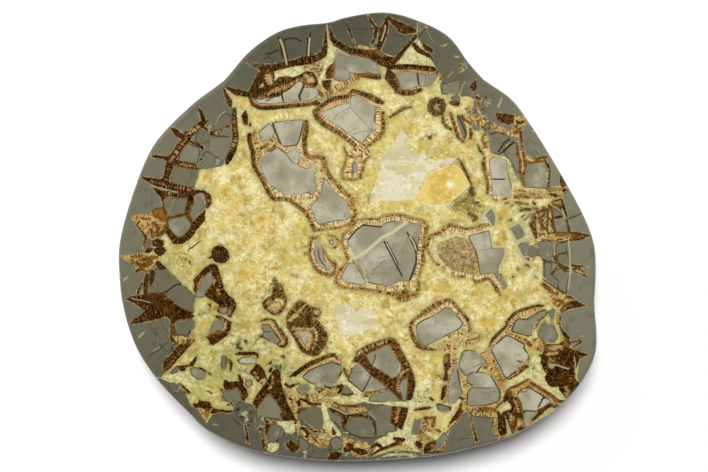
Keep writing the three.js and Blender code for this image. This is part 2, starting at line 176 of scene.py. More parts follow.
MUDSTONE = """
0.55 1.2 -15.5,129.5 -7.5,126.5 5,125 10.5,122 13.5,117.5 14.5,113.5 9,114 5,115.5 -6,115 -7,110.5
-11,108.5 -16.5,110 -18,113 -17,122;
0.95 2.3 -26,85.5 -23.5,87.5 -14,91.5 -6.5,93 -5,98.5 -1,98 10.5,91 11.5,86 11,82 11.5,78 8,72.5 2,65
-15,78;
0.62 1 25.5,115 39.5,115 41.5,105.5 35,103.5 29.5,103 28,107.5;
0.6 0.6 41.5,114 47,113 55,113.5 50,105.5 42.5,105.5;
0.5 0.4 58.5,107 62,106 70,108.5 70.5,100.5 58.5,100;
0.45 0 -120,65 -112,61 -112.5,56 -114,51 -126,53 -125,57.5 -122,62.5;
0.3 0 -129.5,49.5 -120.5,47.5 -112.5,46.5 -113,42 -115.5,35.5 -118.5,34.5 -131.5,37.5 -130.5,43;
0.27 0 -113,70.5 -111,74 -106,73.5 -105.5,69 -108,65.5 -111.5,65 -114.5,67;
0.4 0.5 -104,69 -89,69.5 -88.5,65 -94,54.5 -96.5,54.5 -101,56.5 -105,59.5 -105,64.5;
0.35 0.3 -98,71 -94.5,74 -90,76.5 -89,70.5;
0.25 0 -102.5,75 -100.5,78.5 -93.5,86 -90,84 -89.5,79 -95,76;
0.35 0.3 -108.5,58.5 -106,58.5 -101,56 -101,52.5 -103,47.5 -109.5,48 -108.5,52.5;
0.33 0 -135.5,27 -129,26 -121,26.5 -120.5,23.5 -122,19 -122,16 -132.5,13.5 -136,19;
0.43 0.8 -114,28.5 -110,28.5 -107.5,21 -114,15 -116.5,11.5 -118,15 -118,18.5 -115.5,23;
0.78 2.8 -68.5,55 -56.5,62 -51,58 -45.5,51 -37,47 -29.5,49.5 -32,41 -30.5,38.5 -34.5,31.5 -44,29
-49.5,29 -54,31 -64,37.5 -69.5,51;
0.85 0.5 -50.5,58 -43.5,61.5 -41.5,57.5 -41.5,54 -43.5,51 -47,53.5;
0.8 0 -34,34 -31.5,37 -29,35.5 -31,31.5 -34,29;
0.8 2 -24,40 -22.5,39 -19,33.5 -12,26.5 -8.5,24.5 -8,19.5 -5.5,15 -8.5,12 -15,11.5 -28,8.5 -30,11.5
-31.5,16 -33.5,20 -31.5,23.5 -26.5,28 -26,33.5;
0.6 3.2 -3.5,53.5 -1.5,51.5 -1,45.5 -4.5,45 -4,50;
0.35 0 69,84 70.5,84 74,77.5 75,72 74,68.5 71.5,74 69.5,80;
0.95 0.6 92,53.5 94.5,55 99,54.5 103,52.5 103.5,46 106.5,34 106,28.5 94,29.5 93,40 91.5,50;
0.45 0.3 -134,9.5 -132.5,12 -121.5,14 -118,9.5 -120,4.5 -123.5,1 -126.5,0 -129.5,2.5 -132.5,6;
0.25 0.2 -149.5,-3.5 -147.5,-0.5 -145.5,-2.5 -145,-6 -146,-7.5 -150,-8.5;
0.25 0.2 -142.5,-23 -139,-24 -134,-23.5 -125,-33 -130,-34.5 -136,-38.5 -147,-39.5 -146.5,-35.5 -144,-33
-142,-29;
0.25 0.2 -135.5,-41 -129.5,-35.5 -125.5,-34 -121,-36 -115.5,-42.5 -116,-53 -125,-49.5 -130,-45;
0.25 0.2 -128,-60.5 -122,-59 -117,-58.5 -115.5,-60 -115.5,-63.5 -118,-66 -119.5,-69.5 -124,-68.5
-128,-69;
0.45 0.3 -104,-25 -102,-31.5 -104.5,-35.5 -108,-39 -108.5,-42 -112,-42.5 -114.5,-41.5 -113,-37
-107.5,-27.5;
0.45 0.4 -97.5,-51 -95.5,-50 -93,-50.5 -92.5,-52.5 -94,-54.5 -96.5,-53.5;
0.5 0.3 -101.5,-60 -99,-57.5 -94.5,-62.5 -98,-66 -107,-70.5 -103.5,-65;
0.75 0.8 -30.5,-4 -28,-4.5 -26,-7 -25,-16 -19.5,-22 -22,-23.5 -27,-21 -30,-17.5 -31,-12;
0.9 0.5 -20.5,-3 -18.5,-3 -18,-5 -20,-5;
0.88 0.5 -6.5,-18.5 -4,-19.5 4.5,-31.5 3,-33.5 -3,-33 -8,-31.5 -12.5,-29 -10,-24;
0.55 0 -68,-62 -63.5,-62 -61.5,-64.5 -61,-67 -64.5,-67.5 -67,-66;
0.6 0 -64,-68 -61,-67.5 -57,-72 -59,-73.5 -63.5,-70.5;
0.72 0 77,0 90.5,3.5 93,-8.5 101,-8.5 101.5,-11 100.5,-15 97,-21 96.5,-26 93,-25.5 85,-26 83,-13 80,-6;
0.72 0.2 40.5,-62 45,-59 52,-56 61,-50 64,-51 72.5,-60.5 70.5,-64 47.5,-76 44,-76.5 40.5,-70;
0.6 0.3 95.5,-26.5 98.5,-26 103,-34.5 101.5,-36.5 98.5,-32.5;
0.35 0 118.5,-8 121.5,-6.5 124.5,-9 125,-13 120,-14.5 117.5,-12.5;
0.42 0.3 125,-5.5 128,-3.5 131.5,-4.5 132,-8 131.5,-14.5 129,-15.5 126,-12 125.5,-8;
0.42 0.3 132.5,-5 136,-5 136,-8 135,-12 132.5,-14;
0.42 0.3 139,-5 144.5,-5 145,-11 139,-12.5 138,-9;
0.42 0.3 139.5,-14 145.5,-12 146.5,-18 146,-20.5 141,-18.5;
0.45 0.2 132.5,-18.5 134.5,-19.5 134,-24 133,-28 130,-29 129,-25 130,-19;
0.45 0.2 141,-22.5 146.5,-26 144.5,-36 145,-39.5 141,-37 139.5,-34 139.5,-30 135.5,-27.5 137.5,-24;
0.45 0.2 131,-30.5 131,-28 134,-27.5 138.5,-31 139,-36 136,-34.5;
0.6 0.2 109.5,-60 112,-58 117,-59 121.5,-57 127,-53 130.5,-52 131,-54.5 126,-58 123,-61 121,-65
120,-69.5 107.5,-66;
0.42 0.2 133,-53 136,-51 137.5,-54 135.5,-60 133,-62 130,-59 127,-62 125,-66 126,-70 131,-73.5
136.5,-74 139,-70 136.5,-64;
0.25 0 -130,-76 -126,-75.5 -130.5,-80.5;
0.5 0.2 -117.5,-92.5 -114.5,-92 -110,-94 -108,-96 -108,-98.5 -110.5,-100 -114,-99 -116.5,-97
-117.5,-94.5;
0.25 0.2 -132,-95.5 -128.5,-92 -126.5,-93 -128,-95 -131,-96;
0.2 0.2 -133.5,-104 -130,-102.5 -127,-104 -126,-107 -127,-109 -131,-107.5;
0.35 0.3 -95,-109.5 -86.5,-107 -84,-108.5 -82.5,-115 -86,-116.5 -96,-114.5 -94.5,-111.5;
0.25 0.3 -95.5,-83.5 -93.5,-84 -93,-88 -93.5,-93 -95.5,-93.5 -96.5,-90;
1 0.2 -84,-87 -81.5,-85 -76,-84.5 -72,-86.5 -73,-88.5 -78,-89 -83.5,-88.5;
0.5 0 -67,-65 -61.5,-64.5 -55.5,-73 -57,-75.5 -62.5,-73 -67,-70 -66.5,-66.5;
0.55 0.4 -39,-98.5 -35,-94.5 -30,-92 -24,-90 -19,-88.5 -15,-89 -12,-91 -12.5,-95 -16.5,-102.5 -20,-102
-24,-100 -26,-102 -31,-103 -35,-101.5;
0.7 0 -30.5,-103.5 -26,-102 -24,-100 -20,-102 -16.5,-103 -15,-104.5 -19,-105.5 -25,-104.5 -29,-106;
0.55 0 -43.5,-107 -40,-103.5 -36,-104 -34,-106.5 -37,-109.5 -41,-110.5;
0.4 0.2 -11,-105 -9,-104.5 -4.5,-109.5 -6,-111 -12,-110.5;
0.6 0.3 -3,-91 0,-89 9,-98 20.5,-106 8,-108.5 3,-108.5 -7.5,-100.5;
0.25 0.3 -40.5,-121 -31,-119.5 -27,-121 -25,-130 -26,-134 -32,-133.5 -38,-130 -42.5,-126;
0.35 0.2 -21.5,-122 -17.5,-124.5 -12.5,-126 -12,-132 -15,-131 -19.5,-128;
0.45 0.3 -62,-111 -56,-120 -54,-124 -54,-127.5 -66,-126 -71.5,-124.5 -71,-121 -66.5,-115;
0.7 0 -79,-101 -76,-101 -75,-103.5 -77.5,-105.5 -79.5,-103.5;
0.55 0.2 33.5,-98 34,-104 32.5,-115 31,-115 28,-105.5 29.5,-101.5;
0.5 0.2 20.5,-107 29,-115 15,-115.5 7.5,-115 8,-112.5 13,-110 18,-109;
0.35 0.2 14,-118 22,-119 23,-121 21.5,-129.5 26,-136 19.5,-136.5 18.5,-139.5 12,-139 11.5,-132
6.5,-124.5 8.5,-122;
0.35 0.3 39.5,-128.5 44,-128 42.5,-137.5 40,-138.5 37,-138 38,-133;
0.6 0.3 66.5,-91.5 67.5,-91 69.5,-96 70.5,-105.5 72,-110 66.5,-116.5 63,-116.5 62,-114.5 65.5,-97;
0.75 0.3 72.5,-81.5 74.5,-80 78.5,-80 82,-81 89,-88 85,-91 81.5,-95 78,-95.5 74.5,-97 69,-90.5 70.5,-86;
0.72 0.2 76.5,-97.5 79.5,-96 85,-95.5 92,-97 98.5,-107.5 99,-112 97.5,-115.5 87,-118.5 76.5,-118.5
76,-113 77,-108.5 80,-105 75.5,-101.5;
0.45 0.3 54.5,-118 64,-120 62,-123 58,-122.5 55.5,-121;
0.85 0.3 93,-80 95,-76.5 99,-72.5 102.5,-69.5 104,-69.5 115.5,-76 115.5,-78.5 117.5,-81.5 118.5,-84.5
116.5,-87.5 110.5,-89.5 110.5,-93.5 106,-96.5 103,-99.5 99.5,-94.5 96.5,-88;
0.8 0.3 111,-110.5 113.5,-109 116.5,-109.5 119.5,-106.5 128.5,-112 125,-119 124,-122.5 115.5,-122
114.5,-122.5 113,-117.5 111,-113.5;
0.75 0.3 115,-124.5 118,-122.5 123.5,-123.5 119.5,-129.5 117,-132 115.5,-131 115.5,-127.5;
0.8 0.2 130,-113 134,-115.5 128.5,-120 126,-121 127.5,-117;
0.74 1.5 -8,-2 3,8 14.5,6.5 19,9 23.5,10.5 38,9 43.5,7 41,-5 40,-21 35.5,-31 30,-31 20,-35 5.5,-31.5
3.5,-27 -2.5,-17 -6,-9.5;
0.3 0 -9,-131.5 -5,-127 2,-126.5 7.5,-128.5 10.5,-134 10.5,-140 2,-141 -5.5,-138.5 -10,-135;
0.25 0 -63.5,-135 -60,-130.5 -54.5,-133.5 -52.5,-136.5 -54.5,-141 -59.5,-144 -63.5,-143.5;
0.35 0 49,-147 55.5,-142.5 60,-137.5 61.5,-140.5 57.5,-147 52.5,-150.5;
0.35 0 -19.5,-142.5 -16,-140.5 -12,-142.5 -12,-147.5 -16,-149.5 -19.5,-147;
0.3 0 -41.5,-140 -37,-143.5 -34.5,-147.5 -38.5,-149.5 -42,-147;
0.45 0 91.5,71 98,72.5 103.5,70 105.5,66.5 101.5,64.5 98,57.5 93,59 91.5,65.5;
0.5 0 102,59 105.5,63 109,65.5 111.5,62.5 112,46.5 110.5,45 106.5,53.5 104.5,56;
0.5 0.4 117,51.5 130,52 131.5,43 131.5,34 116,35 115.5,41 116,46.5;
0.35 0 64.5,97 68,99 70.5,97 70,93.5 67,94.5;
0.4 0 81,78 83.5,78.5 84.5,76.5 83.5,74.5 81,75;
0.4 0 88,78.5 90.5,79.5 91.5,77 90.5,75 88,76;
0.9 0.3 -73.5,96 -55.5,98 -52.5,101 -48.5,103 -42.5,108.5 -40,108.5 -39,104 -31.5,104 -28.5,99.5
-34.5,95 -48.5,94.5 -63.5,93 -70.5,93.5;
0.82 0.5 -59.5,79.5 -40,81.5 -39,78.5 -41.5,69 -43.5,64 -52,63 -54.5,65.5 -57.5,73.5;
0.75 0.4 -70,73 -63,78.5 -61.5,77 -59.5,73 -61,69 -68,66.5;
0.45 0.6 92.5,20 94.5,16.5 95.5,13 94.5,8 92.5,8.5 88,15 89.5,17.5;
0.45 0.4 105.5,6 108.5,8 112.5,9.5 116.5,1 110,-3 108,1.5;
0.45 0.4 111.5,-7 114,-5 118.5,-4 118.5,-7 115.5,-14 113.5,-11;
0.5 0.3 114,13.5 120,16.5 120.5,15 115.5,11.5;
0.4 0.2 134.5,20.5 142,14.5 137,13 136,17;
0.45 0.2 138,12 142,13 144,10.5 146.5,2.5 138.5,3 137.5,7
"""
MUDSTONE_IN_ARAGONITE = """
0.7 0 -60.5,-49.5 -57.5,-49 -59,-50.5;
0.8 0.3 -43,-67.5 -40,-67 -38,-68 -35,-67.5 -37.5,-76.5 -41,-70.5;
0.62 0.3 5,-83 20,-76 22,-78 29.5,-90.5 29,-94 26.5,-97.5 23.5,-99.5 20.5,-97 9.5,-90.5 6.5,-86;
0.8 0 132.5,-90 137,-90 136.5,-92.5 134,-92.5 132.5,-91.5
"""
ARAGONITE_PATCHES = """
-77,101.5 -71.5,113.5 -68,117 -65.5,115.5 -65.5,111.5 -67.5,107.5 -73.5,101 -76,99.5;
-21,119 -17,122.5 -17,114.5 -18,110.5 -23,110.5 -23.5,113.5 -22.5,117;
-26,109 -19.5,109.5 -20,104 -22,101.5 -25.5,105;
20,155 15,145.5 13.5,140 12.5,131 15.5,131 19.5,141 20.5,146 20.5,150;
20,154 40,145 40,142.5 31.5,141.5 28,143 25,147 21.5,150;
0,131 6,130.5 13,131 20,126 25.5,125.5 40,142 41,139.5 33,130.5 28.5,124 25.5,121 21.5,118 16,119 6,125
0,126;
45,135.5 51.5,131 52,128.5 48.5,129.5 44.5,132.5;
19.5,117 24.5,114.5 26.5,111.5 28,107.5 28.5,103.5 30,101 26.5,100 18,110.5;
82,110 82.5,104 80,101 77,104 79.5,107;
-133,77 -127.5,75 -123.5,71 -124.5,68 -129,71;
-107,20 -108,15 -108,11 -114.5,4 -118,4 -117.5,9.5 -115,11.5 -111,15.5;
-145,17.5 -138,19.5 -138.5,15.5 -142,12.5;
141,45 146,36 143,34.5 141,35.5 140.5,38.5 141,41.5;
-145,-3 -141.5,-1.5 -137,-3 -136.5,-6 -141,-7 -144.5,-6.5;
-143.5,-8.5 -138.5,-6.5 -136.5,-7.5 -135,-10 -137,-12.5 -139.5,-14 -142.5,-12 -143.5,-10;
-143.5,-8.5 -138.5,-6.5 -136.5,-7.5 -135,-10 -137,-12.5 -139.5,-14 -142.5,-12 -143.5,-10;
-143,-19 -141.5,-17 -139,-18 -137,-20.5 -134,-22.5 -136,-23.5 -139.5,-23 -142,-21;
-145.5,-23 -143.5,-23.5 -143,-27 -143.5,-31 -145.5,-34.5 -146.5,-35 -146.5,-24;
-149,-25.5 -147.5,-26.5 -148,-38.5 -149,-40.5 -151,-40.5 -150.5,-30;
-164,-44.5 -159,-42 -140,-39 -137,-39.5 -126,-49 -117,-53 -115.5,-56 -117,-57.5 -128.5,-58.5 -129,-61
-131,-60 -133,-57.5 -135.5,-56 -143,-58.5 -156,-61 -160.5,-61 -158,-58.5 -151,-53.5 -150,-52 -158.5,-46
-161,-45;
-103.5,-10.5 -101.5,-7.5 -98.5,-6.5 -95.5,-7 -92.5,-9 -91,-12 -91,-15.5 -93.5,-18.5 -97,-19 -100.5,-18
-103,-15;
-116,-30.5 -108,-22 -104.5,-19.5 -101,-19 -99,-20.5 -94,-38 -91,-41.5 -88,-43.5 -86,-47 -86,-50 -90,-57
-92,-56 -92.5,-52 -92,-49 -95,-50 -98.5,-50 -98.5,-47.5 -107.5,-42 -107.5,-39 -102.5,-33 -101.5,-32.5
-103,-25.5 -104.5,-24.5 -107,-26.5 -110,-31 -114.5,-40 -116,-37 -115,-34 -115.5,-31.5;
-60.5,-36 -59,-33 -57.5,-32 -55,-33 -50.5,-43 -50.5,-46.5 -52,-50.5 -55,-54 -58,-55.5 -61,-54.5 -65,-52
-67,-49.5 -68,-46.5 -65,-43.5 -61,-41;
-45,-47 -41.5,-44.5 -38.5,-45.5 -35,-48.5 -27.5,-50.5 -26,-53 -27.5,-56 -30,-58 -25.5,-62.5 -22,-69
-22,-72.5 -24.5,-78 -28,-83 -32,-84 -37,-82.5 -40.5,-80.5 -45,-72 -50.5,-63.5 -51,-58 -50,-54 -47,-50;
23,-38.5 27,-45 31,-46 35,-45 36.5,-43 40,-43 42,-40.5 43,-37 42.5,-32 41.5,-29 40.5,-31 40.5,-36
39,-40 36,-39 33,-37 28,-38.5;
143,-48 148,-45.5 152,-45 159,-48.5 149,-50.5 141.5,-53.5 140.5,-51 142,-49.5;
-126.5,-76.5 -122,-73.5 -116.5,-66.5 -115,-70.5 -115,-73 -131.5,-91.5 -139.5,-99 -137,-94 -133.5,-89
-134.5,-86 -129,-79.5;
-137.5,-91 -136,-87 -134.5,-84 -133.5,-85.5 -133.5,-89 -134.5,-92.5 -136.5,-95;
-113.5,-83 -118,-88.5 -119,-90.5 -116,-91 -113.5,-86;
-117,-118.5 -115.5,-116.5 -113,-117 -110.5,-115 -104.5,-116 -103,-119 -101.5,-120.5 -95,-121.5
-92.5,-122.5 -103,-124 -108.5,-121 -111.5,-120 -114,-120;
-94.5,-101 -93,-100.5 -91.5,-102 -85,-101.5 -81,-105 -82.5,-107 -84,-107.5 -85.5,-105.5 -91,-107.5
-94,-107.5 -95,-104;
-107,-70.5 -99,-66 -94.5,-66 -91,-64 -92,-69 -101.5,-76 -104.5,-75.5 -105,-73;
-13,-125.5 -6.5,-125.5 -8.5,-130.5 -10.5,-134 -12.5,-131.5 -12,-128.5;
-60,-94 -57,-92.5 -55,-95 -55,-100 -54,-106 -49.5,-118 -46,-124 -44,-129 -52.5,-128.5 -55,-119.5
-61.5,-110 -64.5,-110.5 -68,-115 -71.5,-121.5 -74.5,-117 -72.5,-112 -67.5,-106 -62,-97.5;
-76.5,-94.5 -74,-92.5 -72,-89 -69.5,-90 -66,-94.5 -65,-98 -71,-102 -73.5,-98.5 -75.5,-97;
-4.5,-88 -1.5,-80.5 3,-77.5 8,-75 21.5,-70.5 24.5,-71.5 27.5,-74.5 35,-89 39,-99 39.5,-104 37,-114.5
33.5,-115 34,-104 34,-98.5 30,-101 28,-105 30.5,-115 27,-112.5 22.5,-108 9,-98 0,-88.5;
23,-119 25.5,-119 34.5,-120 33.5,-125 30,-135.5 27.5,-134.5 22,-130 22.5,-125.5;
60,-82.5 64,-82 63.5,-86 64.5,-89.5 64,-92.5 61.5,-94.5 62.5,-97.5 62.5,-101 58.5,-101.5 60,-95.5
59,-87.5 59.5,-84;
58.5,-104.5 61.5,-104 61.5,-107.5 60.5,-111.5 58.5,-115 57,-114.5 58,-106.5;
71.5,-120 73.5,-122.5 69.5,-127.5 63.5,-131.5 65,-127.5 68,-123.5;
127,-71.5 129,-72 131,-75.5 140.5,-75.5 142.5,-72.5 143.5,-75 148,-78.5 161,-83 154.5,-85 151.5,-94
151,-99.5 155,-103.5 152,-106.5 147.5,-113.5 145,-113.5 140,-107.5 140,-105 136.5,-105.5 133,-104.5
131,-101.5 130,-98.5 131.5,-96 129.5,-94 127,-88.5 128,-84.5 125.5,-83.5 128.5,-82.5 130,-78
128.5,-74.5;
143,-66.5 147.5,-73.5 148.5,-77 146.5,-77.5 141.5,-67;
133.5,-116 140.5,-118.5 138.5,-120.5 134.5,-119 131,-121.5 117.5,-133.5 111,-137 110.5,-134.5
114.5,-131 117.5,-132.5 124.5,-124.5 125,-121.5 128.5,-120;
102,-110.5 104,-109.5 110,-113 112.5,-116 114,-120.5 115,-125.5 114.5,-129.5 110.5,-131 107,-139.5
102,-128.5 103,-125.5 100.5,-123 107.5,-120.5 105.5,-116.5 103.5,-115 101,-117 101,-114;
95.5,-122.5 98,-122 98.5,-124 101.5,-125.5 103.5,-138 101.5,-139.5 98.5,-139.5 97,-135 97,-125.5;
100,-123 107,-122 108,-124 106.5,-126.5 101,-125;
-52,-145.5 -47.5,-142.5 -44,-146 -41.5,-144.5 -42,-149 -45.5,-151.5 -49.5,-149;
-22.5,-156 -19.5,-151.5 -15.5,-150.5 -12.5,-152.5 -14.5,-156.5 -20.5,-157.5;
-11,-149 -7.5,-144.5 -4,-146 -3.5,-149.5 -7.5,-151 -10.5,-151;
-5,-149 -0.5,-148 5,-149.5 6.5,-152.5 1.5,-153 -3,-151.5;
40,-142.5 43.5,-144.5 45,-147.5 42,-149 39,-145.5;
45.5,-147 49.5,-144 54,-142.5 54,-145.5 49.5,-150.5 46,-151;
-68,-142 -65,-142.5 -63.5,-147.5 -65,-151 -67,-149.5;
95,86.5 108.5,85 108.5,81.5 107,78.5 103,78.5 97.5,80.5;
-75.5,97.5 -74,102.5 -68,104 -66,105 -68,109.5 -66.5,113.5 -68,118 -61,118 -59,113.5 -59.5,108
-56,111.5 -51,112 -46,111 -41.5,113 -37,115.5 -32,115 -29.5,111 -28.5,106.5 -31,104 -38.5,104 -40,108
-42.5,108.5 -48.5,103 -52.5,101 -55.5,98 -70.5,95.5;
-145.5,17.5 -142,20 -137,20.5 -136,17 -133.5,14 -135,10 -143.5,13.5;
54.5,97.5 59,96 61,92 60,87 56.5,84 52,84 48.5,87.5 48,92.5 50.5,96
"""
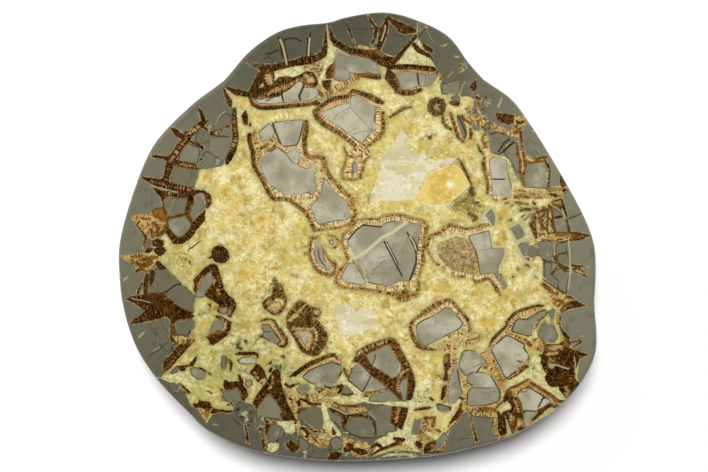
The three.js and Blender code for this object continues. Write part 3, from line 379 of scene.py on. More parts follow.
ARAGONITE_BANDS = """
-113.5,92,.3 -111.5,87.5,1.2 -108,80,1.6;
-94.5,105,.2 -86,101,2.2 -77,99,1.8;
-95,104.5,.3 -93,99,1.2 -90.5,94.5,1.8 -90,90.5,.9;
-87.5,88.5,1.6 -86.5,69,2.1 -87,65,2.2 -88.5,60,2.2 -91,55,2.2 -92.5,51.5,1.2;
-79.5,87.5,.6 -80,84,2.2 -79.5,80,1.8 -78.5,78.5,.6;
-76.5,79.5,.6 -76,77,.7;
-79.5,122,.1 -65,119.5,.8 -60,118,2.2 -45,121.5,2.2 -38,123,3.2 -30,124.5,2.4 -25,127.5,2.3
-23.5,133,1.5 -23,147,.2;
-77,120,.1 -67,117,1.4;
-34,110.5,1.2 -33.5,107.5,1.3;
-20.5,146.5,.2 -19.5,140,1.4 -16,135,2.2 -5,129,2.2 0,128.5,2.6;
0,113,1.2 7,112.5,2 14,111.5,1.8;
-27.5,100.5,1.2 -26,98.5,1;
-56,139.5,.3 -54.5,134,1.1 -51,122,.9;
-34.5,142,.2 -35,137,1 -35.5,126.5,.9;
-8.5,149.5,.1 -6.5,143.5,.8 -2.5,133,.3;
6.5,155,.2 8.5,150.5,.9 12,146,1 11.5,140.5,1 9,134,.5;
38.5,134,1.4 41.5,130.5,1.8 51,125,.7;
20.5,118,1.2 24.5,118.5,1.5 30.5,118.5,2.1 37.5,118.5,1.9 51.5,117,1.9 55,115,.9;
26,102,1.6 31,100.5,1.9 37,100.5,1.9 43,102.5,1.1;
64.5,93.5,1.2 66.5,93.5,2 68.5,93,2;
21,83,.5 31,89.5,1.2 36.5,90.5,.6;
-5,102.5,.9 7,98,2 13,95,2 16.5,93.5,1.2;
-107,80.5,1 -110,79,1.8 -113.5,76,2.2 -115.5,73,1.8 -119,71.5,2.4 -123,70,2.2;
-110.5,77.5,1 -106,74.5,.8;
-120,68.5,2.2 -124,64.5,2.4 -132,53,2.5 -134.5,42,2.4 -136,39,2.6;
-145,56,.3 -143,56,1.1 -138,55.5,.9 -134.5,54.5,1.5;
-129.5,53,.6 -126,52,1.1 -114,50,.7;
-129.5,51,.6 -121,48.5,1 -116,48,1.2 -112.5,47,.7;
-119.5,67,.6 -114,64.5,1.3 -110,62.5,1 -109.5,60.5,.5;
-103,72,1.6 -99,73,1.6 -91,77.5,.4;
-111,53.5,.8 -110,54.5,.6;
-152,41.5,.4 -143,38,2.4 -136,36.5,2.6 -129,34,2.6 -122,33,2.3 -117,32,1.3;
-142.5,33,1 -139,30,2 -133,30,1.8 -127,29,1.8 -121,29,2 -116,30,1.8 -113,31.5,1 -108,31,.9;
-139,28.5,.8 -137.5,27,1.2 -137,22,.5 -136.5,19,.6 -135,15,1.4;
-117.5,28.5,2.2 -118,23,2.2 -120,17.5,1.8 -119,13.5,1.2 -117.5,10.5,1;
-133.5,12.5,.9 -122,15.5,.8 -119.5,15.5,.6;
-108,30.5,1 -105.5,28,1.8 -105,24,1.8 -106,21,1.3;
-38.5,80.5,.4 -37,79.5,1.2 -38.5,68,1.5 -38.5,60.5,.9;
-77.5,71.5,.8 -77,67,1.2 -75.5,61.5,1.2 -73,58.5,1;
-68.5,61.5,1.2 -63,65,.6;
-62.5,60,1 -59.5,62,1.2 -59,64,.5;
-36,55,.8 -31,55.5,.7 -26,55.5,.8 -23,52,.8 -22.5,46,.8;
17,87,.8 16,83,1.1 17,79.5,1.5 16.5,73,1.4 14,69.5,1.6 5.5,62.5,.8 5,60.5,.5;
7.5,56.5,.5 3.5,52,1 2.5,46,1.1 1,42.5,.8;
0.5,56.5,.5 0.5,56,.5;
-10.5,62,.6 -8.5,57.5,.8 -9.5,51,.9 -12,44.5,1.1 -11.5,40.5,.9 -4,39.5,.7 1.5,41,.8;
8,30,.5 6.5,25,.4;
58.5,84.5,.8 59,80,1 61,77,1.1 64.5,75,.9;
64,86,1 69.5,69.5,1.2 72.5,66.5,.9;
72,84,.8 74.5,81,.9 77,80,.8;
78,75.5,.7 78.5,72,1.2 78,68.5,.8;
83.5,79.5,.9 83.5,79,.9;
88.5,73.5,.7 88.5,72,1.4;
87.5,71.5,.5 86.5,69.5,.6 86.5,67,.9 88,64.5,.8 90,66.5,.5;
83,64.5,.5 84,61,.6 86,58.5,.9 87,57.5,.7;
87.5,63,.6 89.5,62.5,.8;
88,55.5,.5 87,52,1.2 87.5,48,1.3 90,37.5,.9 90,30,.8;
0,12,.5 13,12,.7 17,14,.9 25,15,1 30,14.5,1 44,11,.9 46.5,9,1 48,6.5,1;
95,26,.6 96,25.5,.9;
100.5,26,.6 103,26.5,.8;
102.5,23,.6 104,23.5,.8;
106.5,21,.5 107.5,22,.4;
99,13,.5 99,12,.7;
104.5,11,.5 106.5,11.5,.8;
116.5,52,.9 121,51.5,.8 130,53,.6;
122,54.5,.4 131,55.5,.7;
124,53.5,.6 126.5,53.5,.7;
110.5,65.5,.5 111,57,.8 112.5,54,.8 113,50,.9 112.5,46,.7 113,43,1.3 115.5,35.5,.6;
113,72.5,1 114.5,60,.5 116,53,1.1 116.5,49,.8 115,42,.8;
108.5,72.5,.9 111.5,73.5,1.3 113,75.5,.8;
110.5,80.5,.8 113,79,.9 115,80.5,.7;
110,77.5,.6 110,75.5,.6;
130,54.5,.6 132.5,48.5,.8 133,45,1.1 132.5,34,.9;
134.5,29.5,1 137,29,1.2 138,27.5,.8;
143,32,.9 145,32.5,.6;
109,27.5,1 113,28.5,1.2 118,27.5,.8;
109.5,24,.8 112.5,23,1.3;
114,23,.5 118,22.5,.6;
122,24,.7 123,22.5,.9;
113,18,.6 116,19,1.1 120,19,.9;
124.5,17,1 131,18,.7;
123,14,1.1 122.5,11.5,1.6;
125.5,12.5,.6 126.5,9.5,.7;
128,14,.8 129.5,15.5,.7;
128,8.5,.9 129,6,.9 127.5,4.5,.8;
120.5,8,.9 122,6.5,1;
-134.5,10.5,.8 -134.5,6,1.2 -133,2.5,2 -128.5,-3,2.4 -125,-3,2.4 -121,-1,2.3 -118,2,2.3 -111.5,12,1.8;
-148,9.5,.8 -147.5,7.5,.6;
-146,5,.8 -144.5,2.5,1.4;
-142.5,8.5,1 -140.5,6,1.2 -141.5,3,.9;
-141.5,0.5,.8 -138.5,2,1.3 -136,4.5,1 -136.5,7.5,.7;
-152.5,13,.6 -149.5,12,.8 -146,12.5,.6;
-140.5,14,.8 -138.5,11,.8;
-157,10.5,.4 -149,-0.5,.9 -151,-6,.4 -151,-9,.4;
-149,-11,.8 -147.5,-10,1.7 -145.5,-9,1;
-167,-14,.2 -161,-13.5,.2;
-152.5,-16.5,1.2 -145,-15,1.5 -141.5,-15,.8;
-154.5,-19.5,.9 -151,-21,1.6 -148,-19.5,1.9 -145,-18,1;
-156,-24.5,.7 -154,-23,1 -149,-24,.7;
-152,-33,.7 -155,-40,.8;
-130,-60,.9 -129,-70,.7;
-131,-60,.9 -131.5,-70,.7;
-105,-15,.6 -103.5,-14.5,.8;
-99.5,-50,.6 -98.5,-52.5,.7 -97,-53.5,.5;
-111.5,-54.5,.8 -110,-53.5,.8 -107.5,-53.5,.5;
-104.5,-48,.8 -103,-50.5,.9 -104.5,-52,.6;
-100,-56,.8 -97,-57,1.3 -91,-61,1.7 -91.5,-64.5,1.6 -94.5,-67,1.5 -103.5,-70,1.3;
-34.5,11,.6 -32,6.5,1.1 -29,4.5,.9 -14,6,.7 -5.5,9,.8;
-33.5,-1,.9 -31.5,-1,1.6 -28.5,0,.7;
-33.5,-3,.7 -34.5,-11,.9 -34,-15,1 -30.5,-22.5,1.1 -27.5,-25,1.1 -20.5,-27.5,1.1 -17.5,-26,1.2
-16.5,-19.5,.8 -17,-17.5,.8;
-38,-12,.8 -35.5,-12,.9;
-25,-8,.4 -24,-12,.8 -18.5,-19.5,.8;
-21.5,1,.6 -18.5,0,.9 -16,-1.5,1 -14.5,-4,.9 -15,-6.5,.8 -17,-8,.8;
-1,11.5,.7 -6,5.5,.8 -11.5,0.5,.8 -12,-3,.8 -11,-7,.8 -7.5,-16.5,1.1 -14.5,-25.5,.8 -17,-32,1.1
-13.5,-34.5,1.2 -9,-36,.9 -5,-36.5,.8 5,-36.5,.8;
-68.5,-59.5,.5 -65.5,-58,.8 -62,-58,.7 -59.5,-59,.8 -54,-69.5,.8;
-47,-27,.5 -46.5,-27,.5;
-44,-28,.6 -43.5,-27.5,.5;
0,-36.5,.9 22,-40,1.2 25,-41,1.6;
32.5,-36,.4 35,-32,.5;
41.5,-29.5,.8 45,-17,1.2 44.5,-12,1.2 47,6,1.2;
48,-7,.7 48.5,-2.5,1 50,0,1.1 58,3,1.3 60,6,1.4 63.5,8,1.2 76,5,.8 88,8,1.1 91,8,.9;
47.5,-8.5,.6 49,-12.5,.7 53,-18,.8 55,-20,.6 57,-19.5,.5;
65.5,-27.5,.5 66.5,-28,.6;
69.5,-28,.7 73.5,-28.5,.8;
79.5,-30,.5 82,-32,.9 88,-30,1 91,-29.5,.9;
45,-53.5,1.8 55,-47.5,1.9 61.5,-44.5,.8;
43.5,-55,1.1 38.5,-58.5,1 36.5,-61,1.2 36,-64,1.1 37.5,-70.5,1.1;
61,-44,.7 65,-45.5,1.1 74,-56,1.1 76,-58.5,1 78,-66.5,.8;
91,-29.5,.9 94.5,-34,.8 96.5,-37,1.4 99,-41.5,.4;
115.5,-16,.8 118.5,-16,1;
116.5,-20,.6 118.5,-20.5,.7 119.5,-22,.5;
111,-22.5,.5 111.5,-23.5,.7;
107.5,-28.5,.6 108,-28.5,.6;
123,-28,.4 124.5,-29,.4;
120,9,1.2 122,6,1.7 124,-1,.8;
127.5,9.5,.9 129,11.5,.7;
133,2.5,.4 150,2.5,.8 155,1.5,.9 162,0.5,.1;
128,-2,.5 138,-3.5,.5 144,-4,.4 148,-2.5,.8 152,-2,1 160,-0.5,.3;
137,1,.6 141,0.5,.8 144.5,1,.6;
149.5,0.5,1 153,0.5,.9;
139,-2,.6 142,-2,.7;
150.5,-1,.9 154.5,0,.9;
135,-13,.4 139.5,-19.5,1.1 143,-21.5,1 147,-22.5,.8;
138,-13,.7 139,-17,.9;
139,-20,1.1 135,-26.5,.6;
140.5,-20.5,.5 143.5,-23.5,.7 147,-25,.5;
149,-20.5,.8 161,-21.5,.1;
149.5,-23,.6 153,-22.5,.4 156,-24,.6 161.5,-30,.1;
150,-24.5,.4 159,-28,.4;
129,-33.5,1.2 134.5,-38.5,1.4 137,-40.5,.6;
145.5,-42.5,1.2 148.5,-43,.9 150.5,-44.5,.4;
138,-45,.6 141,-45,1 143.5,-46.5,.8;
139,-48.5,.7 141,-47.5,.6;
140,-54.5,.4 141,-57.5,.6 140,-61.5,.6 141.5,-65,.6 146.5,-71,.9;
129.5,-48.5,.5 125,-48.5,.9 121,-49.5,1 113,-52,1.1 109,-54,1.1 103.5,-60,1.2 103,-63,.9 96,-69.5,1.1;
131,-55.5,.3 124.5,-59.5,.4;
-131.5,-66,.8 -131.5,-69.5,1 -130.5,-72.5,1 -128,-74.5,.8 -126,-74.5,.5;
-129,-65,.5 -128.5,-68,.9 -126.5,-69.5,.6 -123,-69,.3;
-128,-91,.3 -125,-91.5,.7 -119,-90.5,.7;
-125,-92.5,1.2 -123,-93,1.7;
-112.5,-92,.4 -110.5,-92.5,.7 -103.5,-97,.4;
-126,-102.5,.4 -120.5,-108,1 -118,-110,.4;
-112.5,-113.5,.2 -110.5,-117,1;
-96,-121.5,.5 -92.5,-123,1 -89,-122.5,.6;
-92,-118,.4 -89.5,-117,.8 -88,-118.5,.4;
-84,-97.5,.7 -83,-100,1.3 -82,-102.5,1.1;
-81.5,-105.5,1.2 -80.5,-108,2.2 -80,-111.5,2.3 -81,-114,1.1;
-97.5,-107.5,.4 -96,-107.5,.8 -95.5,-109,.4;
-93,-83.5,.4 -92.5,-89,.6;
-90.5,-86.5,.8 -89.5,-89,1.1 -90,-94.5,.5;
-97,-98,.4 -96.5,-98,.5;
-86,-82.5,.5 -84,-82,1.2 -73,-82,1.3 -71,-83,1 -71,-85,.4;
-85,-85.5,.3 -84.5,-86.5,.6;
-71,-69.5,.3 -68,-70,.6 -62.5,-73,.3;
-56.5,-76,.4 -54.5,-77,.9 -52.5,-77,1 -50.5,-74.5,1 -51,-71.5,.9 -55,-65,.8;
-49,-98.5,.2 -45,-96.5,1.5 -35,-89.5,1.6 -20.5,-83.5,1.3 -17.5,-83,1.2 -15.5,-85,.8 -15,-86.5,.3;
-51.5,-103.5,.6 -48.5,-105.5,1.2 -45.5,-104,.8 -42,-103,.3;
-41.5,-113.5,.5 -37.5,-115,1 -33.5,-117.5,1.3 -26.5,-117.5,.4;
-42.5,-116,1.3 -42,-118,1.2;
-41,-120.5,1 -44,-124.5,.4;
-49.5,-113,.6 -47.5,-114,.8;
-15.5,-105.5,.7 -12,-104.5,1.2 -12.5,-107.5,1.1 -15,-110,.7;
-23.5,-105,.8 -20.5,-106.5,.6;
-28.5,-109,.5 -26,-108,.5;
-12,-110.5,.6 -8,-111,.8 -4.5,-110,.6;
-10.5,-92.5,.7 -9.5,-95,1.2 -7.5,-100,.4;
-5,-92.5,.5 -7.5,-100,.4;
-21.5,-120.5,.4 -18,-122,1 -10,-125,.9 0,-125,1.1 7,-126.5,.4;
-10,-126,1.8 -11,-133.5,.8;
-17,-116.5,.7 -14,-118,.5 -8,-119,.8 2.5,-118,.5;
-61.5,-87.5,.5 -62,-89,.9 -64,-89.5,.3;
-61.5,-92.5,.8 -62.5,-94.5,1;
-65.5,-98.5,.6 -65,-99.5,.6;
-68.5,-102.5,.5 -67.5,-103.5,.5;
-80,-130.5,.3 -78.5,-139,.9 -77.5,-147,.3;
-64.5,-129.5,1 -63.5,-132.5,1.8 -65.5,-139.5,.4;
-60.5,-130,.7 -58.5,-131,.8;
-68,-133.5,.5 -69.5,-136.5,.4;
-41.5,-133.5,.7 -38,-135,1.1 -35.5,-138,1.2 -37,-140.5,.7;
-34.5,-134.5,.5 -31,-136.5,.6 -24,-136,.4;
-33,-140,.5 -30,-143.5,.9;
-18.5,-134,.4 -17.5,-137.5,1.4;
-45,-131,.6 -43,-128.5,.5;
5,-109.5,.5 15,-108.5,.3;
3.5,-112,.5 6.5,-111.5,.5;
38.5,-121.5,.5 45,-120.5,1 49,-120,.9 50.5,-120,.4;
41,-116,.3 43.5,-115.5,.3;
49.5,-113,.7 51.5,-114.5,.8;
45.5,-127,.9 53,-127,.8;
52.5,-129,1 51.5,-131.5,1.4 52,-133.5,.8;
46.5,-129,.6 48.5,-131.5,.6;
46.5,-135,.6 49,-136,.5 51,-135.5,.4;
54,-135.5,.6 56.5,-136.5,.9;
43.5,-136.5,.7 42.5,-138.5,.5;
24.5,-141.5,.9 28,-142,1.3 31.5,-142,.8;
40.5,-144.5,.6 42.5,-145.5,.8;
46.5,-146,.5 50,-145,.7 52,-143.5,.5;
36,-64,1 38.5,-72,1.4 41,-75.5,1.2;
40.5,-76.5,1.3 45.5,-78,1.7 54,-79.5,.6;
61.5,-76,.8 63,-77.5,1.2 62.5,-79.5,.6;
77.5,-66,1 78,-64,.8;
75,-73,.4 82.5,-71.5,.5;
84.5,-69.5,.7 85,-71.5,.5;
71,-113,.8 72.5,-114,1.2;
71.5,-117.5,1 71,-120.5,1.1 69.5,-123.5,1.3;
63.5,-120,.6 64,-121.5,.6;
62.5,-133,.4 64.5,-130,.7;
80,-120.5,.5 79,-123,.4;
82.5,-123.5,.3 84,-120,.5;
84,-123.5,.3 85.5,-120,.5;
85.5,-123.5,.3 87,-120,.5;
86.5,-123.5,.3 88,-120,.5;
88,-123.5,.3 89.5,-120,.5;
89.5,-123.5,.3 91,-120,.5;
90.5,-123.5,.3 92,-120,.5;
92,-123.5,.3 93.5,-120,.5;
93.5,-123.5,.3 95,-120,.5;
95,-123.5,.3 96,-120,.5;
77.5,-123.5,.4 82.5,-143.5,.9;
61,-143,.4 61.5,-145.5,.6;
110.5,-86.5,.6 112.5,-88,.7 114.5,-87.5,.6;
98.5,-67,1.1 93.5,-72.5,1.1 90.5,-78.5,.5;
92.5,-94,.5 93,-94.5,.5;
95,-91,.4 95,-92,.4;
97.5,-96,.5 98,-97,.5;
97.5,-100,.4 98.5,-100.5,.5;
99.5,-103.5,.4 100,-104.5,.4;
87,-92,.5 88,-91.5,.5;
86.5,-82.5,.4 86,-82,.3;
101.5,-109,.6 103,-108.5,.6;
91.5,-82.5,.3 91.5,-83,.3;
117.5,-91,1.1 114.5,-92.5,1.4 112.5,-95,1;
111,-96.5,.7 104.5,-100.5,.5;
119.5,-84,.5 118,-88.5,.6;
121.5,-71.5,.4 123,-73.5,.6 124,-71.5,.4;
125,-77.5,.5 126.5,-79.5,.7;
149,-74,.4 155,-72.5,.4 156.5,-70,.2;
150,-77.5,.5 153,-76,.5 156,-73,.4;
105,-106.5,.7 109,-105.5,1 119,-100,.6;
120.5,-102.5,.9 135.5,-112,1.2 138.5,-115,1.3 142.5,-116,.9 144.5,-115,.5;
104.5,-108,1 106.5,-109.5,1;
109,-127.5,.6 110.5,-129.5,.7;
111,-113.5,1.1 113,-118,1.1 114,-123,1.1 114,-128,.9;
100,-116,.5 95.5,-120.5,.6;
94,-127.5,.3 93.5,-132,.4 94.5,-137,.3;
99,-141.5,.7 101.5,-140.5,.6;
-76.5,71,1.4 -76,65,1.4 -74.5,60,1.4 -73.5,49,1.4 -68,40,1.4 -62,28.5,1.4 -59.5,26,1.4 -52.5,26.5,1.4
-47.5,25,1.4 -38,17.5,1.4 -35,13.5,1.4 -33.5,9,1.4 -31,5,1.4;
-37,80,1.4 -36.5,74,1.4 -38,68,1.4 -38,61,1.4 -37,57,1.4 -33.5,55,1.4 -29.5,55.5,1.4 -25,54.5,1.4
-23,46.5,1.4 -20,41,1.4 -9,29.5,1.4 -5.5,27.5,1.4 -4.5,22,1.4 -2.5,16,1.4 -5,10,1.4 -8,8,1.4;
-31,87.5,1.5 -29.5,83,1.8 -25,79,1.8 -12,71,1.7 -3,64,1.5;
-31,87.5,1.2 -21,95,1.5 -15,97,1.6 -7.5,98,1.4 -5,101.5,.8 0,100.5,1.6;
9,-153,.6 14.5,-149.5,.9 27.5,-144.5,1.4 31.5,-142.5,.9;
9,-147.5,.9 12.5,-145.5,1.3 15.5,-147,.9;
46,-151.5,.7 58,-150.5,.7;
-54.5,-124.5,1 -53,-128.5,.6;
82.5,97.5,.8 84.5,96,1.1;
83.5,93.5,.5 84.5,90.5,.6;
81,87,.3 82.5,83.5,.5;
82,80.5,.6 85.5,81.5,.7;
91,80.5,.5 93,78.5,.7;
86,77,.6 89,74.5,.7;
-77,97.5,.7 -74,92.5,1.4 -69.5,90,1.4 -62.5,90,1.5 -34.5,92.5,1.2 -30,94.5,.9;
-27.5,93.5,.7 -30,92,1 -32,92.5,.7;
122,14,1 122.5,4.5,1.8 124,0,.9;
126,17,.7 129,18.5,1 132.5,19,.7;
125.5,15,.6 129,5,.8;
133,22,.5 131.5,6,.8 132.5,1.5,.7;
134,21,.6 137.5,3,.5;
133,13,.6 135,10,.6 137,5,.6;
135,24,.6 141.5,26,.7;
136,22.5,.7 140,21,1 145,15.5,.7;
141.5,26,.7 143,21,1.1 147.5,2.5,.7;
69.5,53.5,.9 72,50,1.3 75,44.5,1.1 80,32.5,1
"""
CREAM_PATCHES = """
-30,49 -27.5,48.5 -28.5,43 -29.5,41 -32,41 -31,45;
-28,41 -24.5,41.5 -27.5,30 -30,27 -36,25.5 -42,25.5 -43,28.5 -37,30 -34,33 -31,38;
-161,14 -155,15.5 -145.5,15.5 -145,17.5 -138.5,20 -136,15 -135,9.5 -135,4 -137,1.5 -144.5,-2.5
-147,-1.5 -156,8.5;
-167,-14.5 -154.5,-11.5 -141,-14.5 -141.5,-16.5 -146.5,-23 -149,-24.5 -153.5,-24 -156,-22 -157.5,-19.5
-163,-16.5 -167,-16;
59,-71 72,-65 75,-63 79,-66.5 84,-69.5 86,-72 82,-75.5 76,-77 58,-76;
126,-1.5 131,0.5 134,0 137,2 147.5,2.5 158.5,0.5 153,-1.5 147.5,-1.5 140,-3.5 133,-3;
128,-31 150,-45 146,-48 142,-53 139.5,-50 136,-48.5 132,-39.5 128,-35;
-112,-120.5 -104,-121.5 -104,-124.5 -106,-127.5 -106,-130 -110,-127.5 -111.5,-124;
44,-127.5 46.5,-126 53.5,-126 54,-131 53,-134.5 56.5,-134.5 57,-137.5 53.5,-138.5 50,-137 46,-137
44.5,-139.5 41.5,-139 44,-133;
55,-80 57,-76.5 61,-75.5 68,-70.5 78,-65 82,-66.5 85,-70 84,-73.5 80,-75.5 74,-75.5 70,-77 68,-80
65.5,-82 60,-80.5;
76.5,-119.5 84,-118.5 88,-119 97.5,-116 99.5,-117.5 96.5,-121.5 96,-125.5 90,-126.5 84,-126 79,-124.5
76,-123;
105,-106.5 109,-105 117.5,-100.5 121,-101.5 138.5,-113 141,-116.5 138,-118.5 134,-116 130.5,-113
119,-105.5 117,-107.5 110.5,-110 108,-112 104,-111
"""
CREAM_BANDS = """
-19,102,2.5 -2,111.5,2.6 5,113.5,1.2;
0,133,1 10,131,1.1 16.5,127,.7;
46,147.5,.7 47.5,146,.6;
26,116,.8 33,116.5,.9 39.5,116.5,.8 47,115,.9 54.5,115,.9 58,111.5,1.3 56,109,.5;
29,102.5,.6 35,102.5,.8 41.5,104,.6;
-41,75,.8 -42,66,1 -41.5,60,1.8 -40.5,55,1.8 -37.5,53,1.3 -30,53.5,1.4 -26,52.5,1.6 -25.5,46,1.8
-22.5,43,1.6;
-72,75,1.2 -73.5,70,2.2 -72,64.5,2.6 -70.5,60,2.2 -67,60.5,1.5 -63.5,64.5,1.8 -59,69.5,1.2;
-58,66,1.4 -55,63,1 -50.5,60.5,1 -45,62,.5;
-46.5,49.5,.4 -41,49.5,.9 -34,49.5,1.1 -28,51,.8;
14,92,1.4 14,79,2.2 13,74,2.4 0,58,2.4;
0,57,3 4.5,57.5,2.6 6.5,59.5,1.2 7.5,57,.8;
-3,60,2.4 -6,56,2.2 -7.5,51,1.8 -8.5,45.5,1.8 -7.5,42.5,1.2 -1.5,42.5,1 1,47,1 0.5,52,1.4;
61,83,1.2 61.5,80,1.2 64,78,1;
66.5,81,.7 69,76.5,.8 70,72,.8 72.5,69,.7;
82.5,79.5,1.6 86.5,79.5,2.2;
88,69.5,1.2 88.5,67,1.4 87.5,61,1.6 89.5,58,1.6;
1,10.5,1 14,11,1.2 18,12,1.2 25,13,1.3 38,10.5,1.3 43,9.5,1.3 45.5,6.5,1.2;
90.5,51,1.2 92,38,1.2 92,31,1.2 93.5,27,1.2 105,26.5,.8;
117.5,55.5,1.2 121,53,1.2 126,53.5,1.2 130.5,54.5,.9;
111.5,70,1 115,49,.8 114.5,44.5,.7;
103.5,72,1.3 107,72.5,2.4 110,73.5,2.5;
115.5,60,.5 118,57,.7 121.5,55,.5;
116,33,1 130,30.5,1.4;
107.5,33.5,1.6 110,29.5,2 115,29,2 119,27.5,1.2;
-152,-35.5,.5 -152,-40,.9;
-130.5,-61.5,.4 -130.5,-70,.8;
-31,8.5,.6 -28,6.5,.9 -12,8,1 -7.5,10,.9 -4.5,13,.8;
-32,-3,.9 -32.5,-13,1.1 -31,-18,1.2 -28,-22,1.2 -23.5,-25,1.2 -19,-25,1.2 -18,-22,1.2 -19,-19,1.2
-22.5,-15,1.6 -24.5,-11,1.1 -25,-7.5,.7;
1,9.5,1 -8.5,1,1.3 -9.5,-3,1.4 -9,-7.5,1.2 -5.5,-16.5,.6 -8,-21,1.1 -11.5,-25,1.3 -14,-29.5,1.4
-13.5,-31.5,1.4 -9,-34,1.3 -3,-34.5,1.1 4,-34.5,1;
-67.5,-60,.4 -62.5,-59.5,.9 -60,-61.5,.9 -56,-69.5,.9;
5,-35,.8 19,-37.5,.8 24,-37,1.6 28,-35,2 32.5,-35,1.6 36.5,-33.5,2 38.5,-36.5,1.4 38.5,-29.5,1;
40,-27,1 42,-22,1 42.5,-16,1.2 42.5,-11,1.1 45,4.5,1.1;
50,-3,1 50,-8,1 52,-13.5,1.2 55,-18,1.2 59,-21.5,1.6 64,-24.5,1.8 70,-26.5,1.5 84,-29,1.4 90,-27,1.3
94,-28,1 98,-33.5,1;
51,-1,.8 55.5,0,1 64,5,1.3 76,3,1.1 89,6,1;
39,-62,.9 41,-59,.9 59.5,-48,1.4 63.5,-47,1.2 74,-59.5,1.2 75,-64,1.3;
39,-65.5,.6 39,-70,.9;
94,-29.5,1 100,-37,.9;
125,-3,1.6 123.5,-7,1.6 124.5,-12,1.2 121,-16,1.4;
149.5,-24,.8 153,-24,1.1 156.5,-26,.7;
139,-52,.8 139,-61.5,.8;
129.5,-50,.6 125,-50.5,1.2 119.5,-53.5,1.8 112.5,-55,1.7 108,-59,1.6 103.5,-67,1.4;
131,-56,.5 127,-58,1 122.5,-64,1.5 121,-67,.7;
-127,-73,.6 -124,-73,.9;
-126,-105.5,.6 -123,-108.5,.6;
-91.5,-87,.7 -91,-91,.7;
-56.5,-75,.5 -53.5,-74.5,1 -53,-71.5,.9 -56,-67.5,.8;
-41,-97,.4 -36,-93,.8 -30,-89.5,.8 -22,-87.5,.9 -15,-87,1.2 -11.5,-89,.8;
-14,-84.5,.8 -12.5,-86.5,1;
-4,-110.5,.6 -1,-111,.5;
-9.5,-92.5,.6 -8,-94.5,1.1 -7,-96.5,.8;
-19.5,-117,1 -8,-121.5,1.5 -2,-122,1.6 4,-121,1.4 6.5,-122.5,.7;
-63,-129.5,.7 -62,-131,.7;
-12,-137,.5 -5,-138,.6 3,-140.5,.5;
2.5,-111.5,1.7 7,-110,1.6 16.5,-108.5,.6 20,-107,.3;
39,-120,.3 49.5,-119,.4;
40,-67,.7 41,-71,.9 44,-74.5,1.1 49,-76.5,.9 58.5,-78,1;
65.5,-80.5,.9 66.5,-84,1.2 66.5,-88,1.4 65.5,-92,.9 63.5,-101.5,1 61,-102.5,1.2 58,-104.5,1;
63,-104.5,.8 60.5,-116,.9 55.5,-117,.5;
66.5,-82.5,1.3 68.5,-87,1 69,-92,1 73,-101.5,1.6 75.5,-105.5,1.6 78.5,-104.5,.7;
76,-107,1.3 74.5,-111,1.3 73,-120.5,1.6 76,-121.5,1.4;
73,-123.5,.9 69.5,-128.5,.9 64.5,-133,.9 61.5,-137.5,.9 59.5,-142,.9;
99.5,-70,.9 93.5,-76.5,1 91,-80.5,1.3 93,-85,1.5 96.5,-90,1.5 101,-99.5,1.5 100.5,-104,1.6 102,-108,1.6;
87,-80.5,2.4 89.5,-86,2.2 90,-91,2.6 94.5,-94,2.6 99.5,-104.5,1.9;
93.5,-97.5,1.2 99,-107,1;
105.5,-67.5,1 110.5,-70.5,1.3 116.5,-73,1.5 120,-76,1.8;
122,-73.5,1.4 125,-72.5,1.6 128.5,-75,1.8 127.5,-79,2.2 125,-78,2;
119.5,-83.5,1 118.5,-87,1.2 115.5,-90.5,1.5 108,-96.5,1.5 104,-100,1;
139.5,-65.5,.5 143.5,-74,.8 146.5,-77.5,.6;
150,-75.5,.6 153,-74.5,.4;
98.5,-116.5,1 95.5,-118.5,1.2 94.5,-122,1.2;
95.5,-126.5,.7 95,-131,1 95.5,-136,1.1 97,-140.5,1.2 101,-141.5,1.4 105.5,-140.5,1.2;
-74,71,1.1 -73.5,65.5,1.1 -72,60.5,1.1 -71,50,1.1 -59,28.5,1.1 -52.5,29,1.1 -46.5,27,1.1 -41.5,23.5,1.1
-36.5,19.5,1.1 -33,14.5,1.1 -31.5,10,1.1 -29,6.5,1.1;
-39.5,79.5,1.1 -38.5,74,1.1 -40.5,68.5,1.1 -40.5,61,1.1 -39,55.5,1.1 -34,52.5,1.1 -29.5,53,1.1
-26.5,52.5,1.1 -25,45.5,1.1 -22,39.5,1.1 -17.5,35.5,1.1 -10.5,27.5,1.1 -7.5,26.5,1.1 -5,16,1.1
-7,11.5,1.1 -9.5,10,1.1;
-28.5,88.5,1 -27.5,84.5,1 -23.5,81,1 -10.5,73,1 -1.5,66,1;
-29.5,86,.9 -19.5,93,.9 -14.5,95,.9 -6.5,96,.9 -4.5,99.5,.9 -0.5,98,.9;
28.5,-145.5,1 33,-147.5,1.4 37,-149,1;
-33,-142.5,.8 -27.5,-147,1 -23,-147.5,.6;
61.5,-141,.7 59.5,-146,1.3 57.5,-150.5,1;
0.5,-156,.8 5,-155,.7 7,-154,.6;
83.5,99,.3 86,94.5,.4 90.5,90.5,.4;
83.5,90.5,.7 84,87,.9 86,84,.6;
91.5,80,.6 103,74.5,1;
108,66.5,.6 103,64,.7 98.5,58.5,.6;
-75,96,.8 -72,92.5,.9 -68,92,.8 -33.5,94,1.1 -29.5,98,1.3 -27.5,104,1.4;
133.5,20,.5 134.5,12,.4;
133.5,10,.7 134.5,3.5,.8;
143.5,14,.6 145.5,6,.6;
136,23.5,.5 140.5,23,.7;
35.5,-0.5,.2 38.5,-5.5,.5 40.5,-13,.2;
19,-6,.2 27.5,-21,.2
"""
